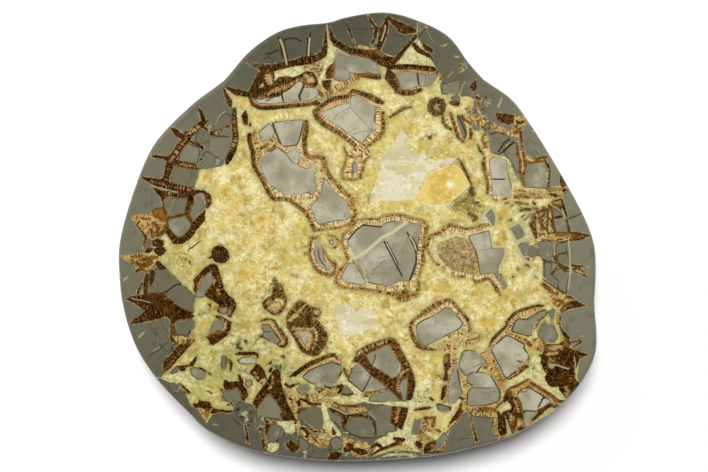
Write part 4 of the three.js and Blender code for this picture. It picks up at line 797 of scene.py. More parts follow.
CREAM_IN_ARAGONITE_PATCHES = """
-65,-46.5 -60,-45.5 -55,-43 -51.5,-44 -52.5,-48 -56,-52.5 -60,-53.5 -64,-50.5;
-130,-72 -128.5,-69.5 -126,-71 -123.5,-70.5 -121.5,-72.5 -118.5,-69.5 -117,-65.5 -113.5,-70 -118,-76
-124,-75.5 -128,-74;
-46,-67.5 -43,-66 -35,-66 -33,-68 -31.5,-72 -34.5,-79 -37,-80 -43.5,-71;
131,-76.5 137,-76 143,-76.5 143,-79.5 137,-80 131.5,-79.5;
106,-125 114,-128.5 113.5,-132 110.5,-133.5 110.5,-138.5 108.5,-139.5 104.5,-130.5;
-65,115 -61.5,115 -60,109.5 -61.5,106 -64.5,106.5 -66,111;
-38.5,113.5 -33.5,114.5 -31,110 -32,105 -38,104.5 -39,109.5
"""
CREAM_IN_ARAGONITE_BANDS = """
132,47.5,.5 132,38,.6;
-113,-34.5,.4 -109.5,-28.5,.5;
-101,-29.5,.9 -101,-33,.7;
-90,-47.5,.6 -89.5,-51,.9 -91,-54.5,.9;
-99,-37.5,.8 -97.5,-39.5,.8 -99.5,-41,.8;
-111,-54,1 -101,-50,1.6 -103.5,-47.5,.9;
-97,-57,.5 -93.5,-60,.5;
-93,-61,.5 -93.5,-64.5,.7 -97,-67.5,.5;
-48.5,-58.5,1.2 -44,-55,1.6 -38,-48,.6;
-30.5,-53.5,1 -28.5,-53,1.7;
-46,-64.5,1.4 -32.5,-65,.9;
137.5,-16,.3 139,-19.5,.4 137,-22.5,.4;
149,-48.5,.4 144,-50,.5;
-119.5,-73,.8 -129,-85,.3;
-131.5,-89,.4 -138,-97.5,.3;
-31,-66.5,.9 -29.5,-69.5,.8 -30,-74,.7 -32.5,-79,.7;
-60.5,-98,.5 -60.5,-102.5,.9 -62.5,-106.5,1.1 -60.5,-109,.5;
-72.5,-94.5,.8 -72.5,-97.5,.9 -70.5,-99,.5;
-66,-140,.4 -65.5,-144,.9 -65,-149,.6;
33.5,-93.5,.7 30.5,-95.5,1 26,-103.5,1.3 23.5,-105.5,1;
26.5,-104.5,1.2 27.5,-108,.7;
-1.5,-83.5,.6 2,-80.5,.5 15,-74.5,.6 20,-73,.5;
27.5,-120.5,.9 26,-129.5,.8;
61.5,-84.5,.6 61,-88,.5;
78.5,-126,.2 81.5,-140,.3;
131,-81.5,.9 134,-82.5,1.4 138.5,-81.5,.8;
133.5,-85.5,.8 133,-88,.9;
136.5,-85.5,.7 136.5,-88,.9;
145,-105.5,1.2 146,-108.5,1.4 145,-111.5,.9;
150.5,-102.5,.6 153,-102.5,.6;
142,-96.5,.2 143,-95,.3;
143.5,-70,.5 147.5,-77,.5;
134,-116.5,.3 137.5,-118.5,.3;
113,-131.5,1.2 116.5,-133.5,.8 121,-129.5,.6;
108.5,-114.5,.5 110.5,-118,.5 111.5,-122,.5;
104.5,-124,.7 106.5,-124.5,.6;
-70.5,97.5,.8 -63.5,99.5,1 -58,102.5,1.8 -52.5,104.5,1.8 -48.5,106,.8 -42.5,110,.7 -39,111,1;
-120.5,69,.6 -125.5,62.5,.8 -132.5,51.5,.6;
-133,49,.5 -134.5,39.5,.6;
-145,38.5,.7 -132.5,35,.7 -118.5,32.5,.6;
-87,83,.7 -86,67.5,.8 -89,60.5,.7;
-100,72.5,.8 -93,76,.3;
-121,71.5,.8 -116,73.5,1 -112,77,.8;
-106.5,29,.6 -105,24.5,.6;
-131,31,.7 -125.5,29.5,.7 -133.5,30,.6;
-124.5,50.5,.6 -115,48.5,.5;
52,91,.3 54.5,90.5,.7 57.5,88.5,.3;
54,94,.3 54.5,90.5,.6 54,87,.3
"""
CLEAR_PATCHES = """
-20.5,135 -16,130 -17,125 -19.5,121 -24,117.5 -25.5,119.5 -22,125 -21.5,130;
-60,114.5 -53.5,115 -50,118 -39.5,119 -39,115.5 -47.5,112 -52.5,113 -57,111 -59.5,112;
35.5,133.5 41,128 45,127 50,122.5 49.5,120 39,120.5 28,120.5 29.5,124 32,127.5 34,131.5;
-137,-98.5 -131,-94 -117,-98 -114,-101 -120,-104 -126,-102.5 -132,-102;
-14,-98.5 -10,-99.5 5,-112.5 4,-116 -4,-113.5 -8,-107 -11.5,-102.5;
-57.5,-129 -47,-130 -45,-131 -44.5,-136 -47,-138.5 -56,-135.5 -58.5,-132;
122,-84.5 126,-85 127,-89 130.5,-96.5 130,-100 132,-104 136,-106.5 139.5,-106 144,-113.5 140,-114.5
132,-107.5 120,-99.5 116,-99.5 104,-106 101.5,-105 103,-102 108,-99 114,-96.5 119,-92 120.5,-88;
100.5,-118.5 103,-116.5 105.5,-117.5 106,-120 103,-121.5 99,-122 97.5,-121;
17.5,-140.5 21,-136.5 28,-137.5 32,-135.5 35,-133 38,-140 41.5,-142.5 35.5,-146 28.5,-144.5 15.5,-149
11,-151 12.5,-147;
-63.5,-144.5 -59.5,-143.5 -56,-145.5 -56.5,-149 -61,-151.5 -64.5,-149.5;
70.5,97.5 76.5,97 77.5,94 75,92 71.5,92.5;
145,-0.5 147.5,-0.5 147.5,-4 146.5,-4.5 145,-2.5;
146.5,-19.5 150,-21 149,-25 147.5,-28 146.5,-25
"""
CLEAR_BANDS = """
100,56,.8 104,53.5,.8 108.5,42,1.3 109.5,37,1.6 108,28,1.4;
0,-13,.8 11,-5,.8 17,-1,1.3 22,2.5,.9 33.5,9,.7;
9,-1.5,1.6 13.5,0,1.6;
15.5,4.5,.4 20.5,8,.4 26,10.5,.4;
53,-2.5,1.2 59,-1,1.6 66,2.5,1.8 74,2,1.5 91,4.5,.6;
-25,-117.5,1.6 -24,-124,2 -21.5,-130,2.2 -17.5,-135,2.2 -14,-138.5,1.6;
5,-116,.5 33,-117.5,2 46,-116,2;
36,-121,1.6 35,-127,1.6 33,-133,2 27,-137.5,2 22,-138,1.4;
68.5,-116,1.6 63.5,-124,1.8;
12,-156.5,.3 20.5,-153,.8 37,-152.5,.6;
32,-156,.3 38.5,-154,.6 45.5,-152.5,.4;
114,7,1 117,3.5,1.4 118.5,0,1.4;
119,-7.5,1 122,-11,1.4 119,-15,1
"""
CRACKS_CLOSED = """
.4 -93.5,86.5 -89.5,83.5;
.3 -64.5,94.5 -59.5,96.5;
.4 -11.5,119 -6,114;
.3 -17.5,81.5 -15.5,85 -6.5,90.5 2.5,81 5,78 11,72.5;
.3 -6.5,90.5 -5.5,94.5;
.3 -4,71 0,73 10,74.5;
.3 -5.5,144.5 5,145.5;
.3 3,145.5 11.5,145.5;
.4 22.5,141.5 31.5,140;
.3 31.5,139.5 31,137;
.5 46.5,145.5 43.5,142 39.5,134.5;
.3 52,129 55,129.5 57,126;
.6 41,115 42,105.5;
.3 46.5,113 46.5,107;
.5 57.5,107.5 57,104 58,100;
.3 28.5,91 35,92.5 38,94 37.5,96;
.3 -117,46.5 -117.5,42 -119,37.5;
.2 -117.5,42 -114.5,43;
.5 -105,71 -94,69.5 -89.5,70;
.3 -106.5,59.5 -97.5,54.5;
.3 -110,48 -103,46.5;
.3 -145,32.5 -145,18;
.5 -59.5,64 -51,57.5 -46.5,51.5;
.5 11,86 10.5,79.5;
.3 9.5,76.5 8,73 1.5,65.5 -9.5,72.5;
.7 69.5,84.5 75,72 74.5,69;
.6 98,57 101,60 103,64.5;
.6 102.5,60 105,64 108.5,67;
.2 103,59.5 106,57.5 110.5,57;
.8 93.5,40 102.5,40;
.3 118,69 122.5,64.5 125,65;
.3 122,60.5 127,56.5;
.6 138,12.5 142,14;
.6 146.5,12.5 150,13.5 156.5,16.5;
.5 114,14.5 119.5,16;
.4 -147.5,-34.5 -147.5,-37.5 -148,-39.5;
.2 -134,-25.5 -132.5,-31.5;
.2 -144.5,-34 -143,-36.5;
.7 -137.5,-39.5 -134,-38.5 -129.5,-34.5 -127,-33.5 -124.5,-33.5;
.5 -156,-44.5 -150,-46 -144,-48.5;
.3 -138.5,-58.5 -138,-61.5 -136.5,-64.5 -133.5,-67.5;
.3 -146.5,-60.5 -146,-64 -143,-65 -139.5,-64;
.2 -146,-64 -144,-66.5 -142.5,-69.5;
.2 -142.5,-65.5 -140.5,-69.5;
.4 -38.5,-7 -35.5,-7 -35.5,-3.5;
.4 -1.5,-17.5 7,-30;
.5 -68.5,-61.5 -63,-61.5 -56.5,-71.5;
.3 12.5,-15.5 19.5,-13.5;
.3 9,-24.5 19,-16;
.3 6.5,-32 19,-35 23,-34 26,-32 29.5,-31 32.5,-32.5;
.3 35.5,-30.5 38.5,-25.5 40,-19.5 41,-14;
.4 76,-1 79,-5 82,-10.5 83,-15;
.2 93,-8.5 83.5,-10;
.4 67.5,-54.5 73,-61 71,-64.5 59.5,-70;
.4 39.5,-62.5 45,-59 53,-55;
.3 40.5,-66.5 41.5,-70.5 45,-76;
.6 134,9 137,2.5;
.5 139,-13 145,-11;
.6 128.5,-16 132,-17.5 136,-18 138.5,-19;
.4 135,-27 139.5,-31 139,-36;
.4 129.5,-16 130,-28.5;
.7 128.5,-30 144,-40.5;
.3 131.5,-45.5 133,-48 136.5,-50.5;
.6 130.5,-51 126,-52.5 117,-58 112,-57.5 109,-60 106.5,-66.5 119,-70;
.3 -144,-66.5 -142,-70.5 -140.5,-75 -133.5,-84;
.3 -142.5,-66.5 -140.5,-70.5 -139.5,-75 -134,-81;
.5 -148,-84.5 -139,-78.5 -136.5,-76 -133,-74;
.4 -142.5,-73 -144,-76.5;
.6 -123,-69 -121.5,-71 -120,-69.5 -118,-65.5;
.5 -133.5,-82.5 -130.5,-77;
.7 -122.5,-108.5 -120.5,-110.5;
.5 -111.5,-121 -106,-127.5;
.4 -112,-122.5 -109.5,-127.5 -107,-129.5;
.4 -106.5,-104.5 -104,-105.5 -101,-106;
.7 -106.5,-108 -103,-110 -102,-109.5;
.3 -112.5,-109 -110.5,-108;
.4 -98,-110 -94.5,-113 -92,-116.5;
.4 -89,-115.5 -83,-115.5;
.6 -88.5,-127 -83.5,-132;
.6 -60,-66 -54.5,-73 -57.5,-76;
.5 -68,-64 -66,-67 -61.5,-66.5;
.4 -43,-68.5 -37.5,-77 -35.5,-71.5;
.6 -39.5,-98 -35,-94 -30,-91.5 -24,-89.5 -18.5,-88 -12.5,-90.5;
.7 -12,-94.5 -14,-97.5;
.3 -23.5,-100 -21.5,-102 -17.5,-102.5;
.3 -39,-99 -33,-103.5;
.3 -4,-95 0,-95.5 5,-94;
.6 -7.5,-100.5 2.5,-109 8.5,-97.5;
.6 -42.5,-123.5 -39.5,-121.5 -36.5,-120.5;
.3 -55.5,-136.5 -56.5,-140.5 -58.5,-143.5;
.6 11.5,-82.5 11,-86 9,-90.5;
.5 8.5,-97.5 2.5,-109;
.4 9.5,-122 16.5,-117;
.9 7.5,-126 11,-129.5 12,-138.5;
.5 68.5,-93.5 71,-105 73,-110.5;
.5 73.5,-81 69.5,-90 74.5,-97.5;
.5 79.5,-92 86.5,-88.5;
.6 85,-91 83.5,-94.5;
.4 73.5,-80.5 78.5,-79.5 82.5,-81;
.4 82,-95 78.5,-95.5 75.5,-97.5 75.5,-100.5 77.5,-103.5 80,-104;
.4 79.5,-106 92,-106;
.6 76,-109 75.5,-119;
.7 54,-117.5 57,-117.5 64.5,-120;
.5 74.5,-123 63.5,-135;
.5 78,-118.5 86,-118.5 92,-117.5 97.5,-115.5;
.5 77,-123 80,-125.5 86,-126.5 96,-127;
.4 69,-143 73,-141.5 77,-141.5;
.6 92.5,-79.5 103,-100 110.5,-94;
.6 95.5,-76 103,-69.5 104.5,-69.5 116,-75.5 115,-78.5 117.5,-81.5;
.3 109.5,-83 111.5,-82.5 113,-84;
.6 92,-97.5 98.5,-108.5 98.5,-112.5 97.5,-115.5;
.8 121,-93.5 122.5,-92 121.5,-94.5;
.7 126,-83 130,-83.5;
.6 110.5,-110 115.5,-106 119.5,-106 132.5,-114;
.7 129.5,-112 125.5,-119.5;
.7 124.5,-122.5 116,-122 115,-123.5;
.3 117.5,-122 116,-124.5;
.6 104.5,-130.5 107.5,-138.5;
.3 85.5,-106.5 90,-106.5 95,-106;
.4 -88,-121.5 -84.5,-127 -80,-131.5;
.4 -54.5,-135.5 -58,-144.5;
.3 -68,-128.5 -70.5,-135.5 -72,-142.5;
.5 -10.5,-134 -5,-138.5 3.5,-141 10.5,-141;
.9 105.5,68 101.5,65.5 97.5,59;
.9 108.5,66 100,58.5;
1.1 -54,102.5 -54,99 -53,94.5;
1.3 -38.5,106 -42,98 -41,95.5;
.6 -66,94 -61.5,97 -56,99;
.6 -52.5,101 -47.5,104;
.9 -61,80 -56,66.5 -54.5,64.5;
.6 -39,80 -41.5,69 -43.5,64 -52.5,63;
.9 -56.5,139.5 -54,127 -51,121.5;
.8 -54.5,139.5 -52,136 -51.5,129.5 -49.5,122.5;
1 -52.5,137.5 -49.5,138.5 -44,138.5 -40,136.5;
1 -65,127.5 -61,128.5 -56,131;
.5 -67,123.5 -63.5,126 -60,122.5;
.7 -36,139.5 -37,125.5;
.7 -34,143 -34,125.5;
1.1 137,13 139.5,14 142,14;
.5 -5,-16.5 -0.5,-22 3.5,-30.5;
.5 -2,-16 5.5,-30;
.8 -7.5,-2.5 -2,4.5 3,8 16,6.5;
.9 33.5,3 39,-7.5 40,-12.5 40,-18 35.5,-30.5;
.8 37,-0.5 39.5,-4.5 41,-9.5;
.9 17.5,-3.5 30.5,-28.5;
.9 19,-3.5 27.5,-19.5
"""
CALCITE_VEINS = """
.4 -112.5,88 -111,81;
.5 -94,104 -88.5,97.5;
.5 -93,88 -97,85 -101,77.5;
.7 -22.5,148.5 -22,142 -20.5,135;
.7 18.5,148 18,144 15.5,136.5;
.6 41,150 41,142.5;
.4 42.5,143 44.5,145.5 46.5,147;
.3 43,150 42.5,146.5 42.5,143.5;
.3 47,145.5 50,139 53,135.5;
.5 56.5,133.5 58.5,133.5 62,135;
.5 75,109 72,105 71,99.5;
.5 52.5,89 54.5,91.5 57,92.5;
.3 -125.5,75 -122.5,71.5;
.3 -146.5,59.5 -145,56.5;
.5 -146.5,35.5 -127,31;
.3 -129,26.5 -135,12.5;
.7 120.5,74 123,73.5;
.6 118.5,79 121.5,77.5;
.7 142,19.5 145,12;
.4 -147,-35.5 -147.5,-39;
.5 -159.5,-43.5 -151,-45 -146,-46.5;
.8 -165,-31 -161.5,-28;
.5 -165,-29 -162.5,-30;
.5 -153,-70 -149.5,-66;
.9 -103.5,-17 -100.5,-19 -97,-20;
1.5 -7,-8 -4,-15.5 4.5,-29.5;
1.2 53.5,-4.5 52,-9 54,-13.5 59.5,-20;
1 92,3.5 94,-7.5 99.5,-7 102.5,-8 102.5,-13 98.5,-22 98,-26;
.6 136.5,-5 137,-12.5;
.8 138.5,-50.5 136,-60.5 141.5,-68.5;
1 -154.5,-71 -151,-67.5;
.4 -141.5,-70.5 -140,-75.5;
.5 -144.5,-80.5 -139.5,-77.5;
1.2 -142.5,-99.5 -140,-99;
.5 -104.5,-123.5 -103,-120;
1 -107.5,-130 -106,-129.5;
.7 -95.5,-118.5 -92,-120 -88,-120;
.5 -102.5,-131.5 -99,-132;
1.2 -17,-103.5 -16,-103.5;
.6 -20,-119 -9.5,-124.5 -3,-123.5;
.4 -81,-131 -79,-140;
.6 -29.5,-138 -26,-138.5 -22.5,-138.5;
.5 7.5,-124 12,-128.5;
.4 21.5,-131.5 24.5,-132.5;
.8 109.5,-89.5 109,-85.5 110,-82;
.8 132.5,-89.5 138,-90 147.5,-93;
.6 150.5,-84 151.5,-90 151,-95.5;
.3 151.5,-67 153.5,-65;
.9 103,-128.5 107,-139.5;
1.1 100,97 97.5,90.5;
1 67,126 70,125.5;
.5 61.5,111 66,115.5;
.6 70.5,114.5 74,117;
.6 59,132.5 61.5,134.5;
1.1 -55.5,138 -53,132 -50.5,120;
1 -34.5,139 -35.5,126;
1 92.5,20.5 87.5,15 92.5,8;
.9 92.5,20.5 96,15.5 96.5,11.5 95,7;
1 105,6 112,10 115.5,5 117,-0.5 110,-3.5 106.5,3.5;
1 112,10 115.5,13 119,17;
1.6 110,-6 112.5,-3.5 117.5,-2 120.5,-3.5;
1.6 110.5,-7 112.5,-11.5 115.5,-16 119,-18.5;
.9 146.5,-1 147.5,-11 147.5,-22 147.5,-28 146.5,-37.5;
2 -6.5,-17.5 5,-10.5 16,-1 23,2.5 33.5,10;
1.5 -6.5,-9 -3.5,-14.5 3.5,-25 5.5,-31.5;
.7 35.5,0 38.5,-4.5 40,-9.5;
.7 19,-4.5 26.5,-19.5
"""
WHITE_CALCITE = """
30,73.5 33.5,71.5 35,67.5 32,64 35.5,62 38.5,57 43.5,59 48.5,55.5 56.5,52 61.5,53.5 55.5,48 48.5,45
42.5,35 41.5,30.5 35.5,25.5 28.5,24.5 18,24.5 12.5,25.5 9,23.5 6.5,25.5 7.5,31 10.5,35 15.5,48
14.5,52.5 17,59 21.5,63 25,67.5 27.5,71.5;
-18,-49 -12.5,-47.5 -6.5,-46.5 -4,-50 -1.5,-53 1.5,-49 6.5,-50 12,-53.5 14.5,-58.5 12,-64 3.5,-66.5
-0.5,-69 -6.5,-67.5 -10,-70 -13.5,-66.5 -16,-60 -17.5,-54.5
"""
AMBER_CRYSTAL = """
45.5,35 47,41 49.5,44.5 61,49 68,50 72,46.5 75,41 78.5,36 62.5,22.5 59.5,21 49.5,22 40,24 38,27
41.5,30.5
"""
GREY_VEIL = """
56,50 59.5,53.5 63.5,55.5 67,55 70,53 68,51.5 59.5,49;
61,20.5 63.5,24 67,27 68,24 67,20.5 64.5,19;
84,12 86,15 89,14 91,10.5 89.5,8 85.5,9.5
"""
MIXED = """
-52,-106.5 -44,-110 -36,-110.5 -31,-108 -28,-111.5 -20,-113.5 -20,-116 -29,-119 -37,-120 -43,-124.5
-46.5,-120 -49.5,-113.5;
-33,-103 -29,-106 -18,-105 -13,-103 -11,-104 -12,-109 -15,-111.5 -18,-112.5 -24,-112.5 -28,-110.5
-31,-107.5;
-45,-129 -42.5,-127 -40.5,-131.5 -36.5,-133.5 -22.5,-136 -24.5,-138.5 -30,-138.5 -33.5,-141.5
-38.5,-141.5 -44.5,-135.5;
-51,-113 -44,-109 -35.5,-109.5 -28.5,-113 -28.5,-118 -37,-119 -41.5,-121.5 -43.5,-128 -39,-133
-30,-135.5 -23,-137 -19,-141 -21.5,-147 -28.5,-147.5 -40,-141 -44,-137 -44,-131.5 -49.5,-128.5
-52.5,-120;
-13.5,-142.5 -8.5,-140 -2,-142.5 5,-144 9,-148 6.5,-154 0.5,-156 -6.5,-151.5 -12,-150.5;
40,-140 45.5,-137.5 51,-140 54,-144 59.5,-147 58,-151 49.5,-153 42.5,-151 38.5,-147;
108.5,84.5 116.5,85 118.5,80 116,77 115,73 112,69.5 109.5,69 106.5,77 108.5,80;
131,33.5 134,35 145,35 145.5,31.5 143,29.5 141.5,26 136,25.5 132,27.5 130.5,31;
80.5,83 84.5,84 89.5,83 93,80 103,74.5 100,72.5 87.5,76.5 83.5,75 80.5,78.5;
74,90 77.5,91 80.5,87 81,80 80.5,73.5 77.5,76.5 75.5,83;
70.5,119 73.5,118 73,115 70,114.5;
-40,118.5 -35.5,122 -28.5,123.5 -24.5,122.5 -24.5,116.5 -28,111 -30,110 -33,115 -38,115.5;
-0.5,115 1.5,112 -2,106.5 -13.5,98 -19,97 -28.5,91 -31.5,93.5 -24.5,101.5 -12,105 -6.5,109.5 -5,113.5;
112,21 119.5,20.5 132.5,22 133.5,17.5 131.5,11.5 132.5,3.5 131,1 126.5,-1 124,-2 119,10.5 120.5,17
115.5,17.5 112.5,19;
108.5,32.5 114,34 121,32.5 130,31.5 131.5,27 126.5,25.5 118.5,27 111.5,25.5 108,28;
54,-7 56.5,-4 62.5,-2.5 65,-0.5 69.5,0 75,-1 78.5,-4.5 84,-15 84.5,-23.5 82,-27 76.5,-27 63.5,-23.5
59.5,-20 55.5,-14
"""
HONEY_SPOTS = """
20.5,68,4.2 9,42,4.2 16,64,2.8 7,36,3.5 51,32.5,7.7 56.5,39.5,6.3 63.5,27.5,5.6 67,45,4.2 34.5,23.5,4.2
20.5,21,4.2 5,55,2.8 37,76,3.5 82,39.5,3.5 71.5,60.5,4.2 42.5,60.5,2.8 -78.5,-4.5,4.2 -89,24,6.3
-94,32.5,4.2 -80,-27,6.3 -73,-22,4.2 -38,-20,4.2 -49,-6,4.2 -66,11.5,4.9 -41.5,8,3.5 -70.5,-0.5,3.5
-44,-18,4.2 -20.5,-25,3.5 -5,-30.5,3.5 -13.5,-76,3.5 39,-65.5,3.5
"""
# Dark spots: most are dark halos in the calcite round brown grains, but those inside the vug's mouth are
# painted shade on its walls.
DARK_SPOTS = """
-59,-32,2.8 -54.5,-36,2.8 -83.5,-77,3.5 -79,-73.5,2.1 -56.5,-91,2.8 -53,-84,2.1 -96.5,-7.5,2.8
-101.5,-13,2.1 49.5,69,1.8 76.5,32.5,1.8 75.5,17,2.1 79,13.5,2.8 82.5,11.5,2.4
"""
# Greener grey clouds in the calcite round brown grains; those in and round the vug are painted shade of the
# hollow.
GREEN_SPOTS = """
-59,-42,11.2 -38,-62,16.1 -83.5,-77,8.4 -56.5,-91,8.4 -96,-14,8.4 -83.5,-93.5,9.8 -68,-76,7
-27.5,-97,8.4 -48.5,-97,6.3 -90.5,-65.5,6.3 -20.5,-79.5,7 49.5,69,4.9 84.5,36,4.9 77.5,22,7 138,25.5,7
42.5,-111,8.4 56.5,-100.5,5.6 -62.5,99,5.6 -10,88.5,4.2 -117,-2.5,5.6 77.5,23.5,7 72,21,4.9 82,17,5.6
77.5,31,4.2
"""
MOTTLED_SPOTS = """
-80,-123.5,7 -66,-130,7 -41.5,-140,9.8 -17,-142.5,10.5 -5,-147,8.4 25,-154,7 42.5,-153,7 -61,-148,6.3
-38,-153,7 -13.5,-153,8.4 -90.5,-116,4.9 74,120.5,4.2 83.5,87,6.3 87.5,94.5,5.6 77.5,95.5,4.2
97.5,71.5,5.6 67,105,4.9 98.5,60.5,4.9 107,53.5,4.9 126.5,45,2.8 122.5,-11.5,4.9 131,-18,3.5
126.5,20,3.5 -105.5,76,4.2 -103.5,67.5,3.5 -102,59,3.5 -100,52,4.2 -112,55,3.5 -112.5,67.5,2.8
-76.5,-128.5,7 -68,-127,6.3 -86,-120,4.9 -55.5,-134,5.6
"""

# ---------------------------------------------------------------- shapes in the plane, as whole arrays


def traced(text, size=2, lead=0):
    """Reads a layer: a list of (lead numbers, points), where each point has size numbers."""
    features = []
    for part in text.split(";"):
        numbers = np.array(part.replace(",", " ").split(), float)
        features.append((numbers[:lead], numbers[lead:].reshape(-1, size)))
    return features


def shapes(text, size=2):
    """The points of each feature in a layer that has no lead numbers."""
    return [points for _, points in traced(text, size)]


def smooth_loop(points, count):
    """A closed centripetal Catmull-Rom curve: each span blends four points, whose knots lie a root apart."""
    share = np.arange(count) * len(points) / count
    first = np.floor(share).astype(int)
    t = (share - first)[:, None]
    p0, p1, p2, p3 = (points[(first + step) % len(points)] for step in (-1, 0, 1, 2))
    spans = ((p0, p1), (p1, p2), (p2, p3))
    d0, d1, d2 = (np.sqrt(np.linalg.norm(b - a, axis=1))[:, None] for a, b in spans)
    m1 = ((p1 - p0) / d0 - (p2 - p0) / (d0 + d1) + (p2 - p1) / d1) * d1
    m2 = ((p2 - p1) / d1 - (p3 - p1) / (d1 + d2) + (p3 - p2) / d2) * d1
    return p1 + m1 * t + (3 * (p2 - p1) - 2 * m1 - m2) * t**2 + (2 * (p1 - p2) + m1 + m2) * t**3


def on_line(knots, run):
    """Points on a line of knots, where run counts the knots from its start."""
    return np.stack([np.interp(run, np.arange(len(knots)), knots[:, axis]) for axis in (0, 1)], axis=1)


def from_segment(where, start, end):
    """Distance of each point to a segment, the share along it, its side, and that share with no ends.

    The side is above 0 for a point to the left of the segment.
    """
    run = end[:2] - start[:2]
    length = max(float(run @ run), 1e-9)
    off = where - start[:2]
    free = off @ run / length
    share = np.clip(free, 0, 1)
    apart = np.hypot(*(off - share[:, None] * run).T)
    return apart, share, run[0] * off[:, 1] - run[1] * off[:, 0], free


def patch_depth(where, corners):
    """Depth inside a patch in millimetres, below 0 outside, and the way round its edge to the nearest point.

    The depth is the distance to the nearest edge, signed by how many edges lie to the right of the point.
    """
    apart = np.full(len(where), 1e9)
    along = np.zeros(len(where))
    inside = np.zeros(len(where), bool)
    gone = 0.0
    for start, end in zip(corners, np.roll(corners, -1, axis=0)):
        here, share, _, _ = from_segment(where, start, end)
        length = math.dist(start, end)
        along = np.where(here < apart, gone + share * length, along)
        apart = np.minimum(apart, here)
        gone += length
        if start[1] != end[1]:
            level = (start[1] > where[:, 1]) != (end[1] > where[:, 1])
            cross = (end[0] - start[0]) * (where[:, 1] - start[1]) / (end[1] - start[1]) + start[0]
            inside ^= level & (where[:, 0] < cross)
    return np.where(inside, apart, -apart), along


def band_depth(where, points):
    """Depth inside a band, its half width less the distance to its middle line, and the way along it."""
    depth = np.full(len(where), -1e9)
    along = np.zeros(len(where))
    gone = 0.0
    for start, end in zip(points[:-1], points[1:]):
        apart, share, _, _ = from_segment(where, start, end)
        length = math.dist(start[:2], end[:2])
        here = start[2] + (end[2] - start[2]) * share - apart
        along = np.where(here > depth, gone + share * length, along)
        depth = np.maximum(depth, here)
        gone += length
    return depth, along


def near(where, points, pad):
    """Numbers of the points that lie in a feature's box, grown by pad."""
    low, high = points[:, :2].min(axis=0) - pad, points[:, :2].max(axis=0) + pad
    return np.flatnonzero(np.all((where > low) & (where < high), axis=1))


def layer_depth(where, features, pad=6.0):
    """A layer's greatest depth at each point, and the way along that feature. Three columns are a band."""
    depth = np.full(len(where), UNREACHED)
    along = np.zeros(len(where))
    for number, points in enumerate(features):
        if points.shape[1] == 3:
            some = near(where, points, pad + points[:, 2].max())
            found, way = band_depth(where[some], points)
        else:
            some = near(where, points, pad)
            found, way = patch_depth(where[some], points)
        nearer = found > depth[some]
        depth[some[nearer]] = found[nearer]
        along[some[nearer]] = way[nearer] + NEEDLE_SHIFT * number
    return depth, along


def line_layers(where, lines):
    """Thin lines, in a few layers of (signed distance, half width, kind).

    A line is drawn where its half width is more than the distance, so it stays thinner than the mesh's own
    spacing. Lines that come close to each other go into different layers.
    """
    layers = [np.tile((0.0, -1.0, 0.0), (len(where), 1)) for _ in range(LINE_LAYERS)]
    taken = [np.full(len(where), 1e9) for _ in range(LINE_LAYERS)]
    for kind, points in lines:
        some = near(where, points, LINE_REACH)
        best = np.full(len(some), 1e9)
        values = np.zeros((len(some), 3))
        for number, (start, end) in enumerate(zip(points[:-1], points[1:])):
            apart, share, side, free = from_segment(where[some], start, end)
            half = start[2] + (end[2] - start[2]) * share
            run = np.hypot(*(end - start)[:2])
            before = np.maximum(0, -free) if number == 0 else 0
            after = np.maximum(0, free - 1) if number == len(points) - 2 else 0
            past = before + after
            level = np.abs(side) / run
            closer = apart < best
            best = np.where(closer, apart, best)
            signed = np.where(past > 0, level, apart) * np.sign(side)
            values[closer] = np.stack((signed, half - past * run, np.full(len(some), kind)), axis=1)[closer]
        touched = best < LINE_REACH
        some, best, values = some[touched], best[touched], values[touched]
        if not len(some):
            continue
        clash = [int((slot[some] < 1e8).sum()) for slot in taken]
        pick = clash.index(min(clash))
        open_here = best < taken[pick][some]
        layers[pick][some[open_here]] = values[open_here]
        taken[pick][some[open_here]] = best[open_here]
    return layers


# ---------------------------------------------------------------- the stone's surface


class Outline:
    """The stone's edge seen from above, as a radius for each angle round the middle of its box."""

    def __init__(self, size):
        edge = smooth_loop(shapes(OUTLINE)[0], OUTLINE_STEPS) - OUTLINE_MIDDLE
        angles = np.arctan2(edge[:, 1], edge[:, 0]) % (2 * math.pi)
        order = np.argsort(angles)
        steps = np.arange(AROUND) * 2 * math.pi / AROUND
        radii = np.hypot(*edge.T)[order] - EDGE_POLISHED_OFF
        self.radii = np.interp(steps, angles[order], radii, period=2 * math.pi)
        self.mean = float(self.radii.mean())
        self.size = size

    def radius(self, angle):
        """Radius at any angle: a straight line from one step to the next."""
        steps = np.arange(AROUND + 1) * 2 * math.pi / AROUND
        return np.interp(angle % (2 * math.pi), steps, np.append(self.radii, self.radii[0]))

    def height(self, x, y):
        """Height of the polished face: its edge, plus a crown that falls with the square of the share out."""
        share = np.hypot(x, y) / (self.radius(np.arctan2(y, x)) - self.size["roll_width"])
        return self.size["edge_height"] + self.size["crown"] * (1 - share**2)


def crease(x, y, z):
    """0 on a lump to 1 in the hollow between lumps: a sum of turned sine waves, near 0 in the hollows."""
    total, most = 0, 0
    for number in range(LUMP_WAVES):
        across, down, height = LUMP_TURN * number + 0.5, LUMP_TILT * number, LUMP_SHRINK**number
        level = math.cos(down)
        way = x * math.cos(across) * level + y * math.sin(across) * level + z * math.sin(down)
        total = total + height * np.sin(2 * math.pi * way / (LUMP_LENGTH * height) + 1.7 * number)
        most += height
    return (1 - np.minimum(1, np.abs(total) / (0.5 * most))) ** 2


def around(radius, angle, height):
    """Points that each lie at a radius, an angle and a height."""
    parts = np.broadcast_arrays(radius * np.cos(angle), radius * np.sin(angle), height)
    return np.stack(parts, axis=-1).reshape(-1, 3)


